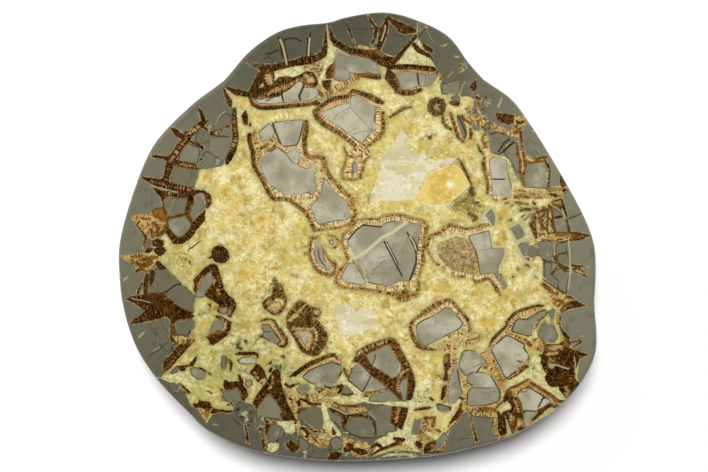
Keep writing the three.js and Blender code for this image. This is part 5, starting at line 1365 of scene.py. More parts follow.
def stone_surface(outline, divisions):
    """The whole closed stone, as points and faces.

    The face is a square grid mapped onto a disc, so its spacing stays even, and stretched to the outline. Its
    rim goes on as rings: a quarter of an ellipse for the rolled edge, then a bowl for the back, whose radius
    grows rounder and pulls in with the sine of its turn, down to the flat resting spot and its middle point.
    """
    size = outline.size
    steps = np.linspace(-1, 1, divisions + 1)
    a, b = np.meshgrid(steps, steps, indexing="ij")
    wide = np.abs(a) > np.abs(b)
    big, small = np.where(wide, a, b), np.where(wide, b, a)
    tilt = np.divide(small, big, out=np.zeros_like(big), where=big != 0) * math.pi / 4
    angle = np.where(wide, tilt, math.pi / 2 - tilt)
    angle = np.arctan2(big * np.sin(angle), big * np.cos(angle))
    share = np.abs(big)
    reach = share * (outline.radius(angle) - size["roll_width"])
    points = [around(reach, angle, size["edge_height"] + size["crown"] * (1 - share**2))]

    start = angle.size
    number = np.arange(start).reshape(angle.shape)
    corners = (number[:-1, :-1], number[1:, :-1], number[1:, 1:], number[:-1, 1:])
    quads = [np.stack(corners, axis=-1).reshape(-1, 4)]
    rim = np.concatenate((number[0:-1, 0], number[-1, 0:-1], number[:0:-1, -1], number[0, :0:-1]))
    angle = angle.reshape(-1)[rim]
    own = outline.radius(angle)
    for step in EDGE_TURNS:
        turn = step * math.pi / 2
        radius = own - size["roll_width"] * (1 - math.sin(turn))
        points.append(around(radius, angle, size["edge_height"] - size["roll_depth"] * (1 - math.cos(turn))))
    for drop in np.linspace(0, 1, BACK_RINGS):
        turn = (1 - drop) * math.pi / 2
        share = REST_SHARE + (1 - REST_SHARE) * math.sin(turn)
        height = SIDE_FOOT * (1 - math.cos(turn))
        radius = share * (own + (outline.mean - own) * ROUNDING * (1 - math.sin(turn)))
        hollow = crease(radius * np.cos(angle), radius * np.sin(angle), height) * LUMP_DEPTH
        hollow = hollow * min(1, 5 * drop, 4 * (1 - drop))
        points.append(around(radius - math.sin(turn) * hollow, angle, height + math.cos(turn) * hollow))
    upper = rim
    for _ in points[1:]:
        lower = np.arange(start, start + len(rim))
        quads.append(np.stack((upper, lower, np.roll(lower, -1), np.roll(upper, -1)), axis=1))
        start += len(rim)
        upper = lower
    points.append(np.zeros((1, 3)))
    quads = np.vstack(quads)
    fan = np.stack((upper, np.full(len(upper), start), np.roll(upper, -1)), axis=1)
    return np.vstack(points), np.vstack((quads[:, (0, 1, 2)], quads[:, (0, 2, 3)], fan))


def make_mesh(name, points, faces, smooth=True):
    """A new object at the origin from points in millimetres and faces of three or four corners."""
    mesh = bpy.data.meshes.new(name)
    mesh.from_pydata((np.asarray(points) * MM).tolist(), [], np.asarray(faces).tolist())
    if smooth:
        mesh.shade_smooth()
    else:
        mesh.shade_flat()
    mesh.validate()
    made = bpy.data.objects.new(name, mesh)
    bpy.context.scene.collection.objects.link(made)
    return made


def closed_rings(rings):
    """Rings of points joined into a closed solid, with a fan over its first and its last ring."""
    count = len(rings[0])
    points = np.vstack([*rings, rings[0].mean(axis=0)[None], rings[-1].mean(axis=0)[None]])
    here, beside = np.arange(count), np.roll(np.arange(count), -1)
    faces = []
    for a in range(0, (len(rings) - 1) * count, count):
        b = a + count
        faces.append(np.stack((here + a, beside + a, beside + b), axis=1))
        faces.append(np.stack((here + a, beside + b, here + b), axis=1))
    top, low = len(rings) * count, (len(rings) - 1) * count
    faces.append(np.stack((beside, here, np.full(count, top)), axis=1))
    faces.append(np.stack((here + low, beside + low, np.full(count, top + 1)), axis=1))
    return points, np.vstack(faces)[:, ::-1]


def bowl(outline, mouth, middle, depth):
    """A hollow: its mouth stood on the face and drawn in ring by ring, with a wobble, to a point below."""
    corner = shapes(mouth)[0] - OUTLINE_MIDDLE
    middle = np.subtract(middle, OUTLINE_MIDDLE)
    rings = [(-ABOVE_FACE, 1)] + [(down * depth, wide) for down, wide in zip(HOLLOW_DOWN, HOLLOW_WIDE)]
    points = []
    for drop, wide in rings:
        wobble = np.sin(2.4 * np.arange(len(corner)) + drop) * (drop > 0)
        place = middle + (corner - middle) * (wide * (1 + HOLLOW_WOBBLE * wobble))[:, None]
        points.append(np.column_stack((place, outline.height(*place.T) - drop)))
    return closed_rings(points)


def crust(outline, mouth, middle, depth, count, seed):
    """A crust of crystals in a hollow, as a closed skin: up its seat, over its rim and down its crystals.

    Each crystal is a six-sided point: its height falls evenly with the widest of three distances from its
    axis, each measured along its own direction, and the tallest crystal at a place shows.
    """
    corner = shapes(mouth)[0] - OUTLINE_MIDDLE
    middle = np.subtract(middle, OUTLINE_MIDDLE)
    loop = on_line(np.vstack((corner, corner[:1])), np.arange(CRUST_AROUND) * len(corner) / CRUST_AROUND)
    reach = np.hypot(*(loop - middle).T)[:, None]
    chance = np.random.default_rng(seed)
    down = np.linspace(0.03, 1, CRUST_ROWS)

    def wall(inset, drop):
        """Rings from the hollow's floor to its rim, moved in by a distance."""
        rings = []
        for turn in drop:
            share = np.interp(turn, HOLLOW_DOWN, HOLLOW_WIDE)
            place = middle + (loop - middle) * share * np.maximum(1 - inset / reach, 0.1)
            height = outline.height(*place.T) - SUNK - turn * (depth - inset)
            rings.append(np.column_stack((place, height)))
        return np.stack(rings)

    seat = wall(SEAT_GAP, down[::-1])
    lining = wall(SEAT_GAP + CRUST_THICK, down)
    where = lining.reshape(-1, 3)
    inward = np.append(middle, outline.height(*middle)) - where
    inward /= np.linalg.norm(inward, axis=1)[:, None]
    foot = where[chance.integers(0, len(where), count)]
    sides = chance.normal(size=(3, count, 3))
    sides /= np.linalg.norm(sides, axis=2)[..., None]
    apart = where[:, None] - foot
    away = np.max([np.abs(np.sum(apart * side, axis=2)) for side in sides], axis=0)
    away = np.where(np.linalg.norm(apart, axis=2) < CRYSTAL_REACH, away, 2 * CRYSTAL_REACH)
    wide, tall = chance.uniform(*CRYSTAL_WIDTH, count), chance.uniform(*CRYSTAL_HEIGHT, count)
    raised = np.max(tall * np.clip(1 - away / wide, 0, 1), axis=1)
    where = where + inward * raised[:, None]
    where[:, 2] = np.minimum(where[:, 2], outline.height(*where[:, :2].T) - SUNK)
    return closed_rings([*seat, *where.reshape(lining.shape)])


def crack_slot(outline, line, width, depth):
    """A narrow slot along a curve: its width swells with the root of a sine from one end to the other."""
    knots = shapes(line)[0] - OUTLINE_MIDDLE
    share = np.linspace(0, 1, CRACK_STEPS)
    way = on_line(knots, share * (len(knots) - 1))
    run = np.gradient(way, axis=0)
    side = np.stack((-run[:, 1], run[:, 0]), axis=1) / np.hypot(*run.T)[:, None]
    half = np.maximum(width / 2 * np.sqrt(np.sin(math.pi * share)), 0.05)[:, None]
    floor = outline.height(*way[0]) - depth
    rings = []
    for wide, height in ((side * half, floor + depth + ABOVE_FACE), (side * half * CRACK_FLOOR, floor)):
        edge = np.vstack((way + wide, (way - wide)[::-1]))
        rings.append(np.column_stack((edge, np.full(len(edge), height)))[::-1])
    return closed_rings(rings)


def cut_away(target, cutters):
    """Takes each cutter out of the target's mesh for good."""
    for cutter in cutters:
        change = target.modifiers.new("Cut", "BOOLEAN")
        change.operation = "DIFFERENCE"
        change.solver = "EXACT"
        change.object = cutter
    shown = target.evaluated_get(bpy.context.evaluated_depsgraph_get())
    mesh = bpy.data.meshes.new_from_object(shown)
    target.modifiers.clear()
    old, target.data = target.data, mesh
    bpy.data.meshes.remove(old)
    mesh.name = target.name
    for cutter in cutters:
        bpy.data.meshes.remove(cutter.data)


def set_vector(mesh, name, *parts):
    """Keeps three numbers a point in the mesh under a name that a material can read."""
    made = mesh.attributes.new(name, "FLOAT_VECTOR", "POINT")
    values = np.stack(parts, axis=1)
    made.data.foreach_set("vector", np.ascontiguousarray(values, np.float32).reshape(-1))


def points_of(mesh):
    """The mesh's points in millimetres, as an array."""
    flat = np.empty(len(mesh.vertices) * 3, np.float32)
    mesh.vertices.foreach_get("co", flat)
    return flat.reshape(-1, 3).astype(float) / MM


# ---------------------------------------------------------------- materials


def linear(colour, alpha=1.0):
    """An sRGB hex colour as linear red, green, blue and alpha."""
    parts = [int(colour[i : i + 2], 16) / 255 for i in (0, 2, 4)]
    return [p / 12.92 if p <= 0.04045 else ((p + 0.055) / 1.055) ** 2.4 for p in parts] + [alpha]


def add(tree, kind, links=None, **settings):
    """Adds one node. Settings are its properties, and links gives sockets a value, a node or an output."""
    made = tree.nodes.new("ShaderNode" + kind)
    for name, value in settings.items():
        setattr(made, name, value)
    for socket, value in (links or {}).items():
        if isinstance(value, bpy.types.Node):
            value = value.outputs[0]
        if isinstance(value, bpy.types.NodeSocket):
            tree.links.new(value, made.inputs[socket])
        else:
            made.inputs[socket].default_value = value
    return made


def new_material(name):
    """An empty node material with its output and one glossy stone shader."""
    made = bpy.data.materials.new(name)
    made.use_nodes = True
    made.node_tree.nodes.clear()
    shader = add(made.node_tree, "BsdfPrincipled")
    add(made.node_tree, "OutputMaterial", {"Surface": shader.outputs[0]})
    return made, made.node_tree, shader


class Patterns:
    """The patterns that one material's looks are mixed from, in millimetres on the stone."""

    def __init__(self, tree):
        self.tree = tree
        place = add(tree, "TexCoord").outputs["Object"]
        self.where = add(tree, "VectorMath", {0: place, "Scale": 1 / MM}, operation="SCALE")
        self.broad = self.grain(26, 2)
        self.cloudy = self.grain(9, 3, seed=3)
        self.small = self.grain(3, 3, seed=5)
        self.tiny = self.grain(1.2, 2, seed=7)
        self.mottle = self.blend(self.small, self.tiny)
        self.clouds = self.grain(15, 3, 0.55, seed=71)
        bend = add(tree, "TexNoise", {"Vector": self.where, "Scale": 0.3, "Detail": 3.0}).outputs["Color"]
        bend = add(tree, "VectorMath", {0: bend, "Scale": 5.5}, operation="SCALE")
        self.bent = add(tree, "VectorMath", {0: self.where, 1: bend}, operation="ADD")

    def grain(self, size, detail=2.0, rough=0.5, seed=0.0):
        """Clouds whose grains are about size millimetres across, from 0 to 1."""
        shift = (seed, seed * 0.7, seed * 1.3)
        spot = add(self.tree, "VectorMath", {0: self.where, 1: shift}, operation="ADD")
        links = {"Vector": spot, "Scale": 1 / size, "Detail": detail, "Roughness": rough}
        return add(self.tree, "TexNoise", links)

    def crystals(self, size, seed):
        """Crystals about size millimetres across: a chance for each, and 0 at its edge to 1 inside."""
        spot = add(self.tree, "VectorMath", {0: self.bent, 1: (seed, seed * 0.7, 0.0)}, operation="ADD")
        links = {"Vector": spot, "Scale": 1 / size}
        chance = add(self.tree, "SeparateColor", {0: add(self.tree, "TexVoronoi", links).outputs["Color"]})
        inside = add(self.tree, "TexVoronoi", links, feature="DISTANCE_TO_EDGE").outputs["Distance"]
        return chance, inside

    def fibres(self, way, depth, width=0.9, length=4.0):
        """Needles that stand across a band: clouds drawn out from its edge inwards."""
        spot = add(self.tree, "CombineXYZ", {0: way, 1: self.blend((depth, width / length))})
        links = {"Vector": spot, "Scale": 1 / width, "Detail": 1.5}
        return add(self.tree, "TexNoise", links, noise_dimensions="2D")

    def layer(self, name):
        """The three numbers that the mesh keeps under a name."""
        read = add(self.tree, "Attribute", attribute_name=name)
        return add(self.tree, "SeparateXYZ", {0: read.outputs["Vector"]}).outputs[:3]

    def blend(self, *parts):
        """Adds patterns and numbers up. A pattern may come as a pair with its weight."""
        total = None
        for part in parts:
            if isinstance(part, tuple):
                part = add(self.tree, "Math", {0: part[0], 1: part[1]}, operation="MULTIPLY")
            total = part if total is None else add(self.tree, "Math", {0: total, 1: part})
        return total

    def largest(self, *parts):
        """The greatest of several patterns at each point."""
        total = parts[0]
        for part in parts[1:]:
            total = add(self.tree, "Math", {0: total, 1: part}, operation="MAXIMUM")
        return total

    def share(self, pattern, low, high, most=1.0, least=0.0):
        """Goes from least to most as a pattern goes from low to high: softly, or evenly if low > high."""
        way = "SMOOTHSTEP" if low < high else "LINEAR"
        links = {0: pattern, 1: low, 2: high, 3: least, 4: most}
        return add(self.tree, "MapRange", links, interpolation_type=way)

    def paint(self, ground, *coats):
        """Lays coats over a ground colour. A coat is a colour with its share, or with what share() takes."""
        for colour, *where in coats:
            share = self.share(*where) if len(where) > 1 else where[0]
            below, above = (linear(c) if isinstance(c, str) else c for c in (ground, colour))
            ground = add(self.tree, "Mix", {0: share, 6: below, 7: above}, data_type="RGBA").outputs[2]
        return ground


class Section(Patterns):
    """The polished section's looks, each over the whole face, and the layers that say where they go."""

    def __init__(self, tree, colours):
        super().__init__(tree)
        self.colours = colours
        self.field, self.mud, self.tone_and_reflection = self.layer("matrix")
        self.brown, self.cream, self.pale = self.layer("aragonite")
        self.mud_top, self.cream_top, self.skin = self.layer("over")
        self.amber, self.gloom, self.rind_painted_light = self.layer("tint_and_shade")
        brown_way, cream_way, self.inner = self.layer("fibre")
        self.white, self.mixed, self.mottled = self.layer("crystal")
        self.gem, self.veil, self.painted_glint = self.layer("gem")
        self.cool = self.layer("side")[0]
        self.edge = self.blend(self.grain(2.4, 3), -0.5)
        self.fine_edge = self.blend((self.grain(1.1, 2, seed=9), 0.7), -0.35)
        self.wander = self.blend(self.edge, self.fine_edge)
        self.needles = self.fibres(brown_way, self.brown)
        self.pale_needles = self.fibres(cream_way, self.cream)
        turn = {"Vector": self.bent, "Rotation": (0, 0, math.radians(-48)), "Scale": (0.045, 0.16, 0.1)}
        turned = add(tree, "Mapping", turn)
        facets = add(tree, "TexVoronoi", {"Vector": turned, "Scale": 1.0})
        self.facet = add(tree, "SeparateColor", {0: facets.outputs["Color"]})
        self.streak = add(tree, "TexNoise", {"Vector": turned, "Scale": 4.0, "Detail": 4.0})

    def calcite(self):
        """Massive yellow calcite: blocky crystals in honey and cream, with seams, and greener by the rims."""
        large, large_in = self.crystals(9.5, 35)
        fine, fine_in = self.crystals(3.4, 39)
        block, block_in = self.crystals(7.0, 47)
        blocky = self.share(self.blend(block, (self.small, 0.8)), 0.7, 1.2)
        blocky = self.share(self.blend(block_in, (self.tiny, 0.4)), 0.16, 0.5, blocky)
        rims = self.share(self.blend(fine_in, (self.small, 0.5)), 0.4, 0.2, 0.75)
        feathers = self.grain(5.5, 5, 0.8, seed=83)
        clouds = self.blend(self.clouds, (self.small, 0.3))
        ripe = self.share(self.blend(large, self.broad, (self.cloudy, 0.6)), 1.36, 1.95)
        ripe = self.share(large_in, 0.0, 0.3, ripe, self.blend((ripe, 0.3)))
        strong, weak = self.blend((self.amber, 1.1)), self.blend((self.amber, 0.5))
        spotted = self.share(self.mottle, 1.2, 0.8, strong, weak)
        honey = self.paint("D9C25C", (self.colours.calcite_deep_hex, self.cloudy, 0.4, 0.6))
        chips = self.share(fine, 0.2, 0.0, 0.45)
        seams = self.share(self.blend(large_in, (self.small, 0.3)), 0.27, 0.14, 0.35)
        fuzz = self.blend(self.largest(self.brown, self.mud, self.cream), (self.small, 3), (self.tiny, 1.5))
        # dark halos round brown grains, and painted shade of the vug where the spots lie on its walls
        halo = self.blend(self.gloom, (self.small, 2), self.tiny)
        halo_and_shade_colour = self.paint("9A9A68", ("2C2412", halo, 1.95, 2.7))
        return self.paint(
            self.colours.calcite_light_hex,
            ("C0AB5A", self.mottle, 0.92, 1.12),
            ("8E7C38", self.blend(self.grain(2.2, 3, 0.7, seed=51), self.cloudy), 1.06, 1.3, 0.75),
            ("B0AA62", self.blend(self.broad, (self.cloudy, 0.5)), 0.72, 0.92, 0.4),
            ("B0862A", self.cloudy, 0.36, 0.56, blocky, self.blend((blocky, 0.2))),
            ("F8F1CE", self.cloudy, 0.58, 0.4, rims, self.blend((rims, 0.1))),
            ("F6EFC8", feathers, 0.54, 0.7, 0.7),
            ("9C8636", feathers, 0.45, 0.3, 0.6),
            ("EBE3B4", clouds, 0.7, 0.86, 0.7),
            ("B5A046", clouds, 0.6, 0.44, 0.6),
            (honey, self.blend((self.largest(ripe, spotted), 0.7))),
            ("8A7A3C", fine_in, 0.1, 0.4, chips),
            ("EFE4BC", self.tiny, 0.42, 0.6, seams),
            ("EFE5B8", self.blend(self.grain(6, 5, 0.75, seed=13), self.tiny), 1.1, 1.4, 0.7),
            ("A9A768", fuzz, -1.5, 2.2, 0.55),
            ("979350", self.mottle, 0.8, 1.15, self.blend((self.cool, 0.6)), self.blend((self.cool, 0.25))),
            (halo_and_shade_colour, halo, 1.7, 2.3, 0.9),
            ("4A4424", self.blend(self.brown, (self.mottle, 2)), 0.5, 2.2, 0.4),
        )

    def clear_crystal(self):
        """Clear calcite sawn across its cleavage: milky facets with bright and dull streaks."""
        return self.paint(
            "E0D8BA",
            ("C4B892", self.blend(self.facet, self.streak), 0.55, 1.45),
            ("EFEAD6", self.blend(self.streak, self.cloudy), 1.05, 1.3, 0.8),
            ("D2C27C", self.blend(self.clouds, self.small), 1.0, 1.2, 0.6),
            ("A9A077", self.blend(self.streak, self.tiny), 0.9, 0.7, 0.6),
        )

    def amber_crystal(self):
        """One amber calcite crystal, sawn through, with a painted white highlight on it and a paler edge."""
        return self.paint(
            "DDC66C",
            ("CBA345", self.blend(self.clouds, self.cloudy), 0.85, 1.25),
            ("EBD98C", self.blend(self.streak, self.small), 0.98, 1.2, 0.7),
            # painted highlight: a white glint on the crystal
            ("F4EED8", self.blend(self.painted_glint, self.mottle), 1.1, 2.2),
            ("F3E6BE", self.gem, 0.9, 0.3, 0.5),
        )

    def rind(self):
        """The concretion's mudstone rind: dense, plain and grey, with painted light and shade by its angle
        round the stone, pale specks and stained mottling.
        """
        patchy = self.blend(self.grain(3.2, 4, 0.7, seed=61), (self.mottled, 0.12))
        return self.paint(
            "2E2D18",
            # painted light and shade: the rind's lighter grey comes in by its angle round the stone
            ("84816C", self.rind_painted_light),
            ("2C2B17", self.cloudy, 0.5, 0.8, 0.3),
            ("9C9983", self.grain(0.8, 1, seed=17), 0.58, 0.8, 0.25),
            ("A9AA84", patchy, 0.62, 0.76, self.mottled),
            ("3A230C", self.grain(2.6, 4, 0.7, seed=63), 0.54, 0.64, self.mottled),
        )

    def mixed_grains(self):
        """Broken aragonite and calcite grown together, too fine to tell apart."""
        return self.paint(
            "77683C",
            ("B89E5E", self.mottle, 0.88, 1.12),
            ("45230A", self.grain(3.0, 4, 0.7, seed=65), 0.52, 0.6, 0.85),
            ("DDBE7C", self.grain(2.2, 4, 0.7, seed=67), 0.55, 0.62, 0.85),
            ("A8946E", self.blend((self.inner, 0.3))),
        )

    def cream_aragonite(self):
        """The rims' inner band: cream needles near the middle of the stone, tan ones further out."""
        cream = self.paint("E0CA94", ("B08C4E", self.blend(self.pale_needles, self.small), 0.92, 1.12))
        tan = self.paint("C6A262", ("7E5626", self.blend(self.pale_needles, self.cloudy), 0.9, 1.15))
        return self.paint(
            tan,
            (cream, self.blend(self.inner, self.small), 0.5, 1.0),
            ("4E300E", self.blend(self.pale_needles, self.tiny), 1.03, 1.22, 0.85),
            ("F3E8C8", self.mud, -1.0, -0.6, 0.6),
        )

    def mudstone(self):
        """A fragment of mudstone: its own grey lifted by painted reflection, a painted soft sheen with
        painted shade beside it, and faint darker specks.
        """
        painted_sheen = self.blend(self.grain(17, 2, 0.5, seed=41), (self.tone_and_reflection, 0.5))
        return self.paint(
            "4A4835",
            # the fragment's grey: its own tone together with painted reflection of the lamps
            ("A39D82", self.tone_and_reflection),
            # painted sheen: lighter where the polish's reflection falls, darker where it falls off
            ("D1CBB2", painted_sheen, 0.76, 1.05, 0.5),
            ("706A4E", painted_sheen, 0.74, 0.5, 0.4),
            ("4A4734", self.blend(self.cloudy, self.grain(1.6, 2, seed=43)), 1.0, 1.3, 0.3),
        )

    def brown_aragonite(self):
        """The rims' outer band: dark brown needles, golden inside and near black along their free edge."""
        flecks = self.blend(self.needles, self.tiny, self.grain(1.7, 2, 0.6, seed=53))
        golden = self.paint("6E4C18", ("D2AC66", self.blend(self.needles, self.tiny), 0.84, 1.14))
        inner = self.inner
        beside = self.blend(self.largest(self.mud, self.cream), (self.needles, 2))
        bright = self.blend(flecks, (self.cloudy, 0.9), (inner, 0.22))
        rim_depth = self.blend(self.brown, (self.needles, 2), (inner, 0.5), -1)
        return self.paint(
            "2A1504",
            ("5A390F", self.blend(self.needles, self.small), 0.88, 1.12),
            (golden, self.brown, 0.4, 2.4, self.blend((inner, 0.4)), self.blend((inner, 0.95))),
            ("A4702E", beside, -0.5, 1.7, 0.6),
            (self.colours.aragonite_light_hex, bright, 2.14, 2.5, 0.85),
            ("1C0A00", flecks, 1.42, 1.15, 0.72),
            ("1A0A02", self.blend(self.cloudy, self.small), 0.92, 1.22, 0.6),
            (self.colours.aragonite_dark_hex, rim_depth, 0.9, 0.1, 0.4),
        )

    def thin_lines(self):
        """Coats for closed cracks, dark, and calcite veins, pale, from each layer of lines."""
        vein = self.paint("A69E78", ("C9BF94", self.inner))
        for number in range(LINE_LAYERS):
            signed, half, kind = self.layer(f"line_{number}")
            apart = add(self.tree, "Math", {0: signed}, operation="ABSOLUTE")
            drawn = self.share(self.blend(half, (apart, -1)), -0.35, 0.1, 0.95)
            ink = self.paint("2E2410", (vein, kind, 0.4, 0.6))
            yield ink, half, 0.1, 0.4, drawn, self.blend((drawn, 0.5))

    def weathered_skin(self):
        """The concretion's natural skin: dull grey-tan clay, blotched."""
        return self.paint(
            "8C8270",
            ("625A4A", self.grain(14, 4, 0.6, seed=21), 0.35, 0.65),
            ("B5A88C", self.grain(4, 4, 0.6, seed=23), 0.5, 0.75),
        )


def polished_section(colours):
    """Septarian concretion, sawn, lapped and tin-oxide polished, with its weathered skin left on the back.

    The polish gives the face a low, even gloss over every mineral. Mudstone is dense and plain, aragonite is
    granular and fibrous in brown and cream, and calcite is clear enough to show lighter and deeper yellow.
    """
    made, tree, shader = new_material("polished_septarian_section")
    stone = Section(tree, colours)
    blend, wander, edge, fine_edge = stone.blend, stone.wander, stone.edge, stone.fine_edge
    veil = stone.paint("B5A48A", ("D8CDB4", stone.streak, 0.4, 0.6))
    strip = stone.paint("D6CE98", ("A6A272", stone.mottle, 0.9, 1.15))
    cream, mud = stone.cream_aragonite(), stone.mudstone()
    border = stone.share(blend(stone.brown, wander), -1.0, -0.3, 0.7)
    outline = stone.share(blend(stone.mud, fine_edge), -1.0, -0.5, 0.85)
    base = stone.paint(
        stone.calcite(),
        (stone.clear_crystal(), blend(stone.white, wander), -0.5, 0.9, 0.93),
        (stone.amber_crystal(), blend(stone.gem, edge), -0.3, 0.4, 0.85),
        (veil, blend(stone.veil, edge), -0.3, 0.4, 0.85),
        (stone.rind(), blend(stone.field, wander), -0.2, 0.25),
        (stone.mixed_grains(), blend(stone.mixed, (edge, 2)), -0.6, 0.8),
        (strip, blend(stone.pale, wander), -0.4, 0.4, 0.9),
        (cream, blend(stone.cream, wander), -0.2, 0.25),
        ("C2A468", stone.small, 0.4, 0.6, border),
        ("3A2A10", stone.cloudy, 0.65, 0.45, outline, blend((outline, 0.45))),
        (mud, blend(stone.mud, fine_edge), -0.1, 0.25),
        (stone.brown_aragonite(), blend(stone.brown, wander, (stone.needles, 1.6), -0.8), -0.35, 0.1),
        (cream, blend(stone.cream_top, (stone.needles, 4), edge, -2), -0.7, 1.1, 0.9),
        (mud, blend(stone.mud_top, fine_edge), -0.15, 0.2),
        *stone.thin_lines(),
    )
    rough_side = stone.share(blend(stone.skin, (stone.cloudy, 0.5), -0.25), 0.4, 0.6)
    base = stone.paint(base, (stone.weathered_skin(), rough_side))
    tree.links.new(base, shader.inputs["Base Color"])
    gloss = stone.share(rough_side, 0, 1, SKIN_ROUGHNESS, POLISH_ROUGHNESS)
    tree.links.new(gloss.outputs[0], shader.inputs["Roughness"])
    shader.inputs["IOR"].default_value = STONE_IOR
    height = blend((stone.grain(2.2, 5, 0.6, seed=25), rough_side))
    bump = add(tree, "Bump", {"Height": height, "Distance": 0.6 * MM, "Strength": 0.8})
    tree.links.new(bump.outputs[0], shader.inputs["Normal"])
    return made


def crystal_calcite(name, hex_colour):
    """Calcite grown freely into a hollow: small glass-bright points, clear yellow, with painted shade that
    deepens down the hollow and dark spots of painted shadow and stain.
    """
    made, tree, shader = new_material(name)
    place = add(tree, "TexCoord").outputs["Object"]
    kept = add(tree, "Attribute", attribute_name="hollow").outputs["Vector"]
    deep, dark, _ = add(tree, "SeparateXYZ", {0: kept}).outputs
    cloud = add(tree, "TexNoise", {"Vector": place, "Scale": 1 / (2.5 * MM), "Detail": 4.0, "Roughness": 0.7})
    frost = add(tree, "TexNoise", {"Vector": place, "Scale": 1 / (1.0 * MM), "Detail": 2.0})
    shadow_and_stain = add(tree, "Math", {0: dark, 1: cloud})
    look = linear(hex_colour)
    # painted shade: A8963C darkens the crystals the deeper they lie; 3A2808 is partly painted shadow and
    # partly dark stain
    coats = (
        ("A8963C", deep, 1.0, 9.0, 1.0),
        ("6E6430", cloud, 0.5, 0.62, 0.75),
        ("EEE6BE", frost, 0.54, 0.68, 0.8),
        ("3A2808", shadow_and_stain, 0.8, 1.6, 0.95),
    )
    for colour, pattern, low, high, most in coats:
        share = add(tree, "MapRange", {0: pattern, 1: low, 2: high, 4: most})
        look = add(tree, "Mix", {0: share, 6: look, 7: linear(colour)}, data_type="RGBA").outputs[2]
    tree.links.new(look, shader.inputs["Base Color"])
    shader.inputs["Roughness"].default_value = 0.14
    shader.inputs["IOR"].default_value = 1.6
    shader.inputs["Transmission Weight"].default_value = 0.15
    return made


# ---------------------------------------------------------------- properties


class StoneSizes(bpy.types.PropertyGroup):
    """The stone's lengths, and how fine its face is"""

    crown: bpy.props.FloatProperty(
        name="Crown", description="Rise of the polished face to its middle", default=4 * MM, unit="LENGTH"
    )
    edge_height: bpy.props.FloatProperty(
        name="Edge height", description="Height of the face's rim", default=56 * MM, unit="LENGTH"
    )
    roll_width: bpy.props.FloatProperty(
        name="Roll width", description="Width of the rolled edge", default=3 * MM, unit="LENGTH"
    )
    roll_depth: bpy.props.FloatProperty(
        name="Roll depth", description="Drop of the rolled edge", default=5 * MM, unit="LENGTH"
    )
    divisions: bpy.props.IntProperty(
        name="Divisions", description="Squares across the face's grid", default=280, min=20
    )


class StoneColours(bpy.types.PropertyGroup):
    """The minerals' main colours"""

    calcite_light_hex: bpy.props.StringProperty(
        name="Light calcite", description="sRGB hex colour", default="DCCB7E"
    )
    calcite_deep_hex: bpy.props.StringProperty(
        name="Deep calcite", description="sRGB hex colour", default="C9A23A"
    )
    aragonite_dark_hex: bpy.props.StringProperty(
        name="Dark aragonite", description="sRGB hex colour", default="220E00"
    )
    aragonite_light_hex: bpy.props.StringProperty(
        name="Light aragonite", description="sRGB hex colour", default="CE9E54"
    )


class StageSizes(bpy.types.PropertyGroup):
    """The camera and the main light"""

    lens: bpy.props.FloatProperty(
        name="Lens", description="Focal length of the camera, in millimetres", default=85, min=20
    )
    sun_strength: bpy.props.FloatProperty(
        name="Sun strength", description="Light on the floor, in watts a square metre", default=3.2
    )
    view_width: bpy.props.FloatProperty(
        name="View width", description="Width seen at the face", default=495.6 * MM, unit="LENGTH"
    )


# ---------------------------------------------------------------- the section's layers, kept in the mesh


def outline_of(scene):
    """The stone's outline, with its lengths in millimetres from the scene's properties."""
    names = ("crown", "edge_height", "roll_width", "roll_depth")
    return Outline({name: getattr(scene.nodule_sizes, name) / MM for name in names})


def as_traced(place):
    """Where each point lies among the traced lengths: scaled out from the eye's axis as it comes nearer."""
    nearer = (EYE[2] - RIM_HEIGHT) / (EYE[2] - place[:, 2:])
    return EYE[:2] + (place[:, :2] + OUTLINE_MIDDLE - EYE[:2]) * nearer


def spots(where, text):
    """How far each point lies in soft round spots of (x, y, radius): 1 inside, falling to 0 at 1.5 radii."""
    share = np.zeros(len(where))
    for x, y, radius in shapes(text, 3)[0]:
        apart = np.hypot(where[:, 0] - x, where[:, 1] - y) / radius
        share = np.maximum(share, np.clip(1.5 - apart, 0, 1))
    return share


def both(patches, bands):
    """A layer's patches and its bands in one list."""
    return shapes(patches) + shapes(bands, 3)


def line_list(text, kind):
    """A layer of thin lines, each with its kind and with half its width beside every point."""
    return [(kind, np.column_stack((p, np.full(len(p), lead[0] / 2)))) for lead, p in traced(text, 2, 1)]


